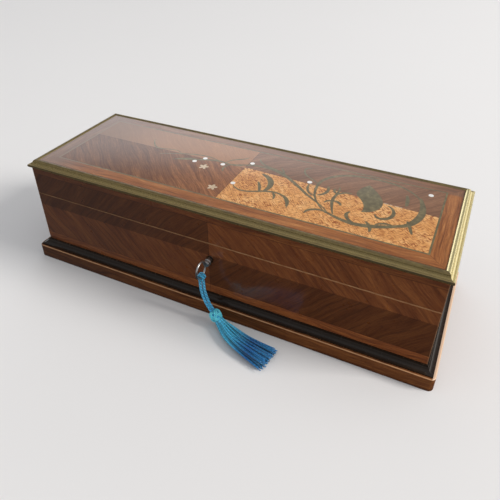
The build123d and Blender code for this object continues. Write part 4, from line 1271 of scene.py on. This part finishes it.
# %% Give each piece its finish
finish_of_node = {
    "box_veneer_front": "front", "lid_veneer_front": "front",
    "box_veneer_back": "back", "lid_veneer_back": "back",
    "box_veneer_left": "end", "box_veneer_right": "end",
    "lid_veneer_left": "end", "lid_veneer_right": "end",
    "lid_light_flowers": "flowers", "tassel_knot": "cord", "tassel_cord_left": "cord",
    "tassel_cord_right": "cord", "tassel_head": "head", "tassel_skirt": "skirt",
}
finish_of_piece = {
    "braided_cord_left": "cord", "braided_cord_right": "cord", "cord_turns_on_ring": "cord",
    "tassel_head_knot": "head", "tassel_head_core": "core", "tassel_skirt_threads": "skirt",
}


def dress(piece, material):
    if not piece.data.materials:
        piece.data.materials.append(material)
    for slot in piece.material_slots:
        slot.material = material


for node, slot in slot_of.items():
    dress(nodes[node], finishes[finish_of_node.get(node, slot)])
for piece in bpy.context.scene.objects:
    if piece.type == "MESH" and piece.name not in slot_of:
        dress(piece, finishes[finish_of_piece.get(piece.name, "silk_lining")])
print("materials in use:", sum(1 for material in bpy.data.materials if material.users))

# %% [markdown]
# The room is a plain studio. The floor is a large pale sheet. The polish would mirror that
# whole sheet in the front, where the real one shows deep brown, so the floor is hidden from
# mirror-like rays.

# %% The floor
floor_size = 60
bpy.ops.object.select_all(action="DESELECT")
bpy.ops.mesh.primitive_grid_add(x_subdivisions=24, y_subdivisions=24, size=floor_size)
floor = bpy.context.object
floor.name = "studio_floor"
floor.visible_glossy = False
material, recipe = finish("studio_paper", Specular_IOR_Level=0.0)
x, y = recipe.axes()[:2]
paper = recipe.noise(x / 400, y / 400, 0.0, 2.0)
recipe.feed(Base_Color=recipe.mix(paper, (0.82, 0.80, 0.79), (0.84, 0.82, 0.81)),
            Roughness=paper * 0.1 + 0.8)
dress(floor, material)
print("floor, in metres:", floor_size)

# %% [markdown]
# The key light is a small window on the right, about a third of the way up the sky and a
# little behind the box, so that the shadows fall to the left. It is near enough to give them a
# soft edge.

# %% The window
window_way = Vector((0.814, 0.158, 0.559))
window_distance = 4.95
window_side = 1.5
window_light = bpy.data.lights.new("window", "AREA")
window_light.shape = "RECTANGLE"
window_light.size = window_light.size_y = window_side
window_light.energy = 182
window_light.color = (1.0, 0.985, 0.96)
window = bpy.data.objects.new("window", window_light)
window_place = window_way * window_distance
facing = window_place.to_track_quat("Z", "Y").to_matrix().to_4x4()
window.matrix_world = Matrix.Translation(window_place) @ facing
bpy.context.scene.collection.objects.link(window)
print("window's height in metres:", round(window_place.z, 2))

# %% [markdown]
# The rest of the light comes from the walls and the ceiling, which the world stands for. Its
# brightness changes with direction, as in a real room. The polish shows it: the lid mirrors
# the low back of the room, where a bright haze on the left fades upwards and to the right, and
# the brass on the right mirrors the bright right-hand side.

# %% The walls and the ceiling
world = bpy.data.worlds.new("studio")
bpy.context.scene.world = world
world.use_nodes = True
room = Recipe(world.node_tree, world.node_tree.nodes["Background"])
way = room.node("TexCoord", output="Generated")
to_right, to_back, to_top = (room.node("SeparateXYZ", None, {0: way}, i) for i in range(3))
low_back = room.step(to_back, 0.3, 0.6)
in_front = 1 - room.step(to_back, 0.1, 0.6) * room.step(to_top, 0.78, 0.66) * 0.55
ceiling = room.step(to_top, 0.5, 0.95) * 0.36 + 0.355
right_side = room.step(to_right * 0.9 + to_back * 0.3, 0.2, 0.95)
right_back = room.step(to_right, 0.2, 0.6) * low_back * room.step(to_top, 0.4, 0.2)
haze_top = to_right * 0.13 + 0.534
haze = room.step(to_top - haze_top, 0.03, -0.03) * low_back
haze = haze * room.step(to_right, 0.12, -0.42) * 1.75
haze = haze * (1 - room.step(to_right, -0.5, -0.68) * 0.2)
horizon = room.step(to_top, 0.2, 0.05) * (1 - room.step(to_back, -0.1, 0.3))
table_left = room.step(to_right, -0.35, -0.6) * room.step(to_back, 0.0, -0.4)
above = room.step(to_top, -0.06, 0.0)
strength = ceiling * in_front + right_side * 0.40 + right_back * 1.1 + haze + horizon * 0.35
strength = strength * (above * 0.97 + 0.03) + table_left * (1 - above) * 0.09
room.feed(Color=room.mix(right_side, (0.93, 0.96, 1.0), (1.0, 0.98, 0.94)), Strength=strength)
bpy.context.scene.view_settings.view_transform = "Standard"
print("nodes in the world:", len(world.node_tree.nodes))
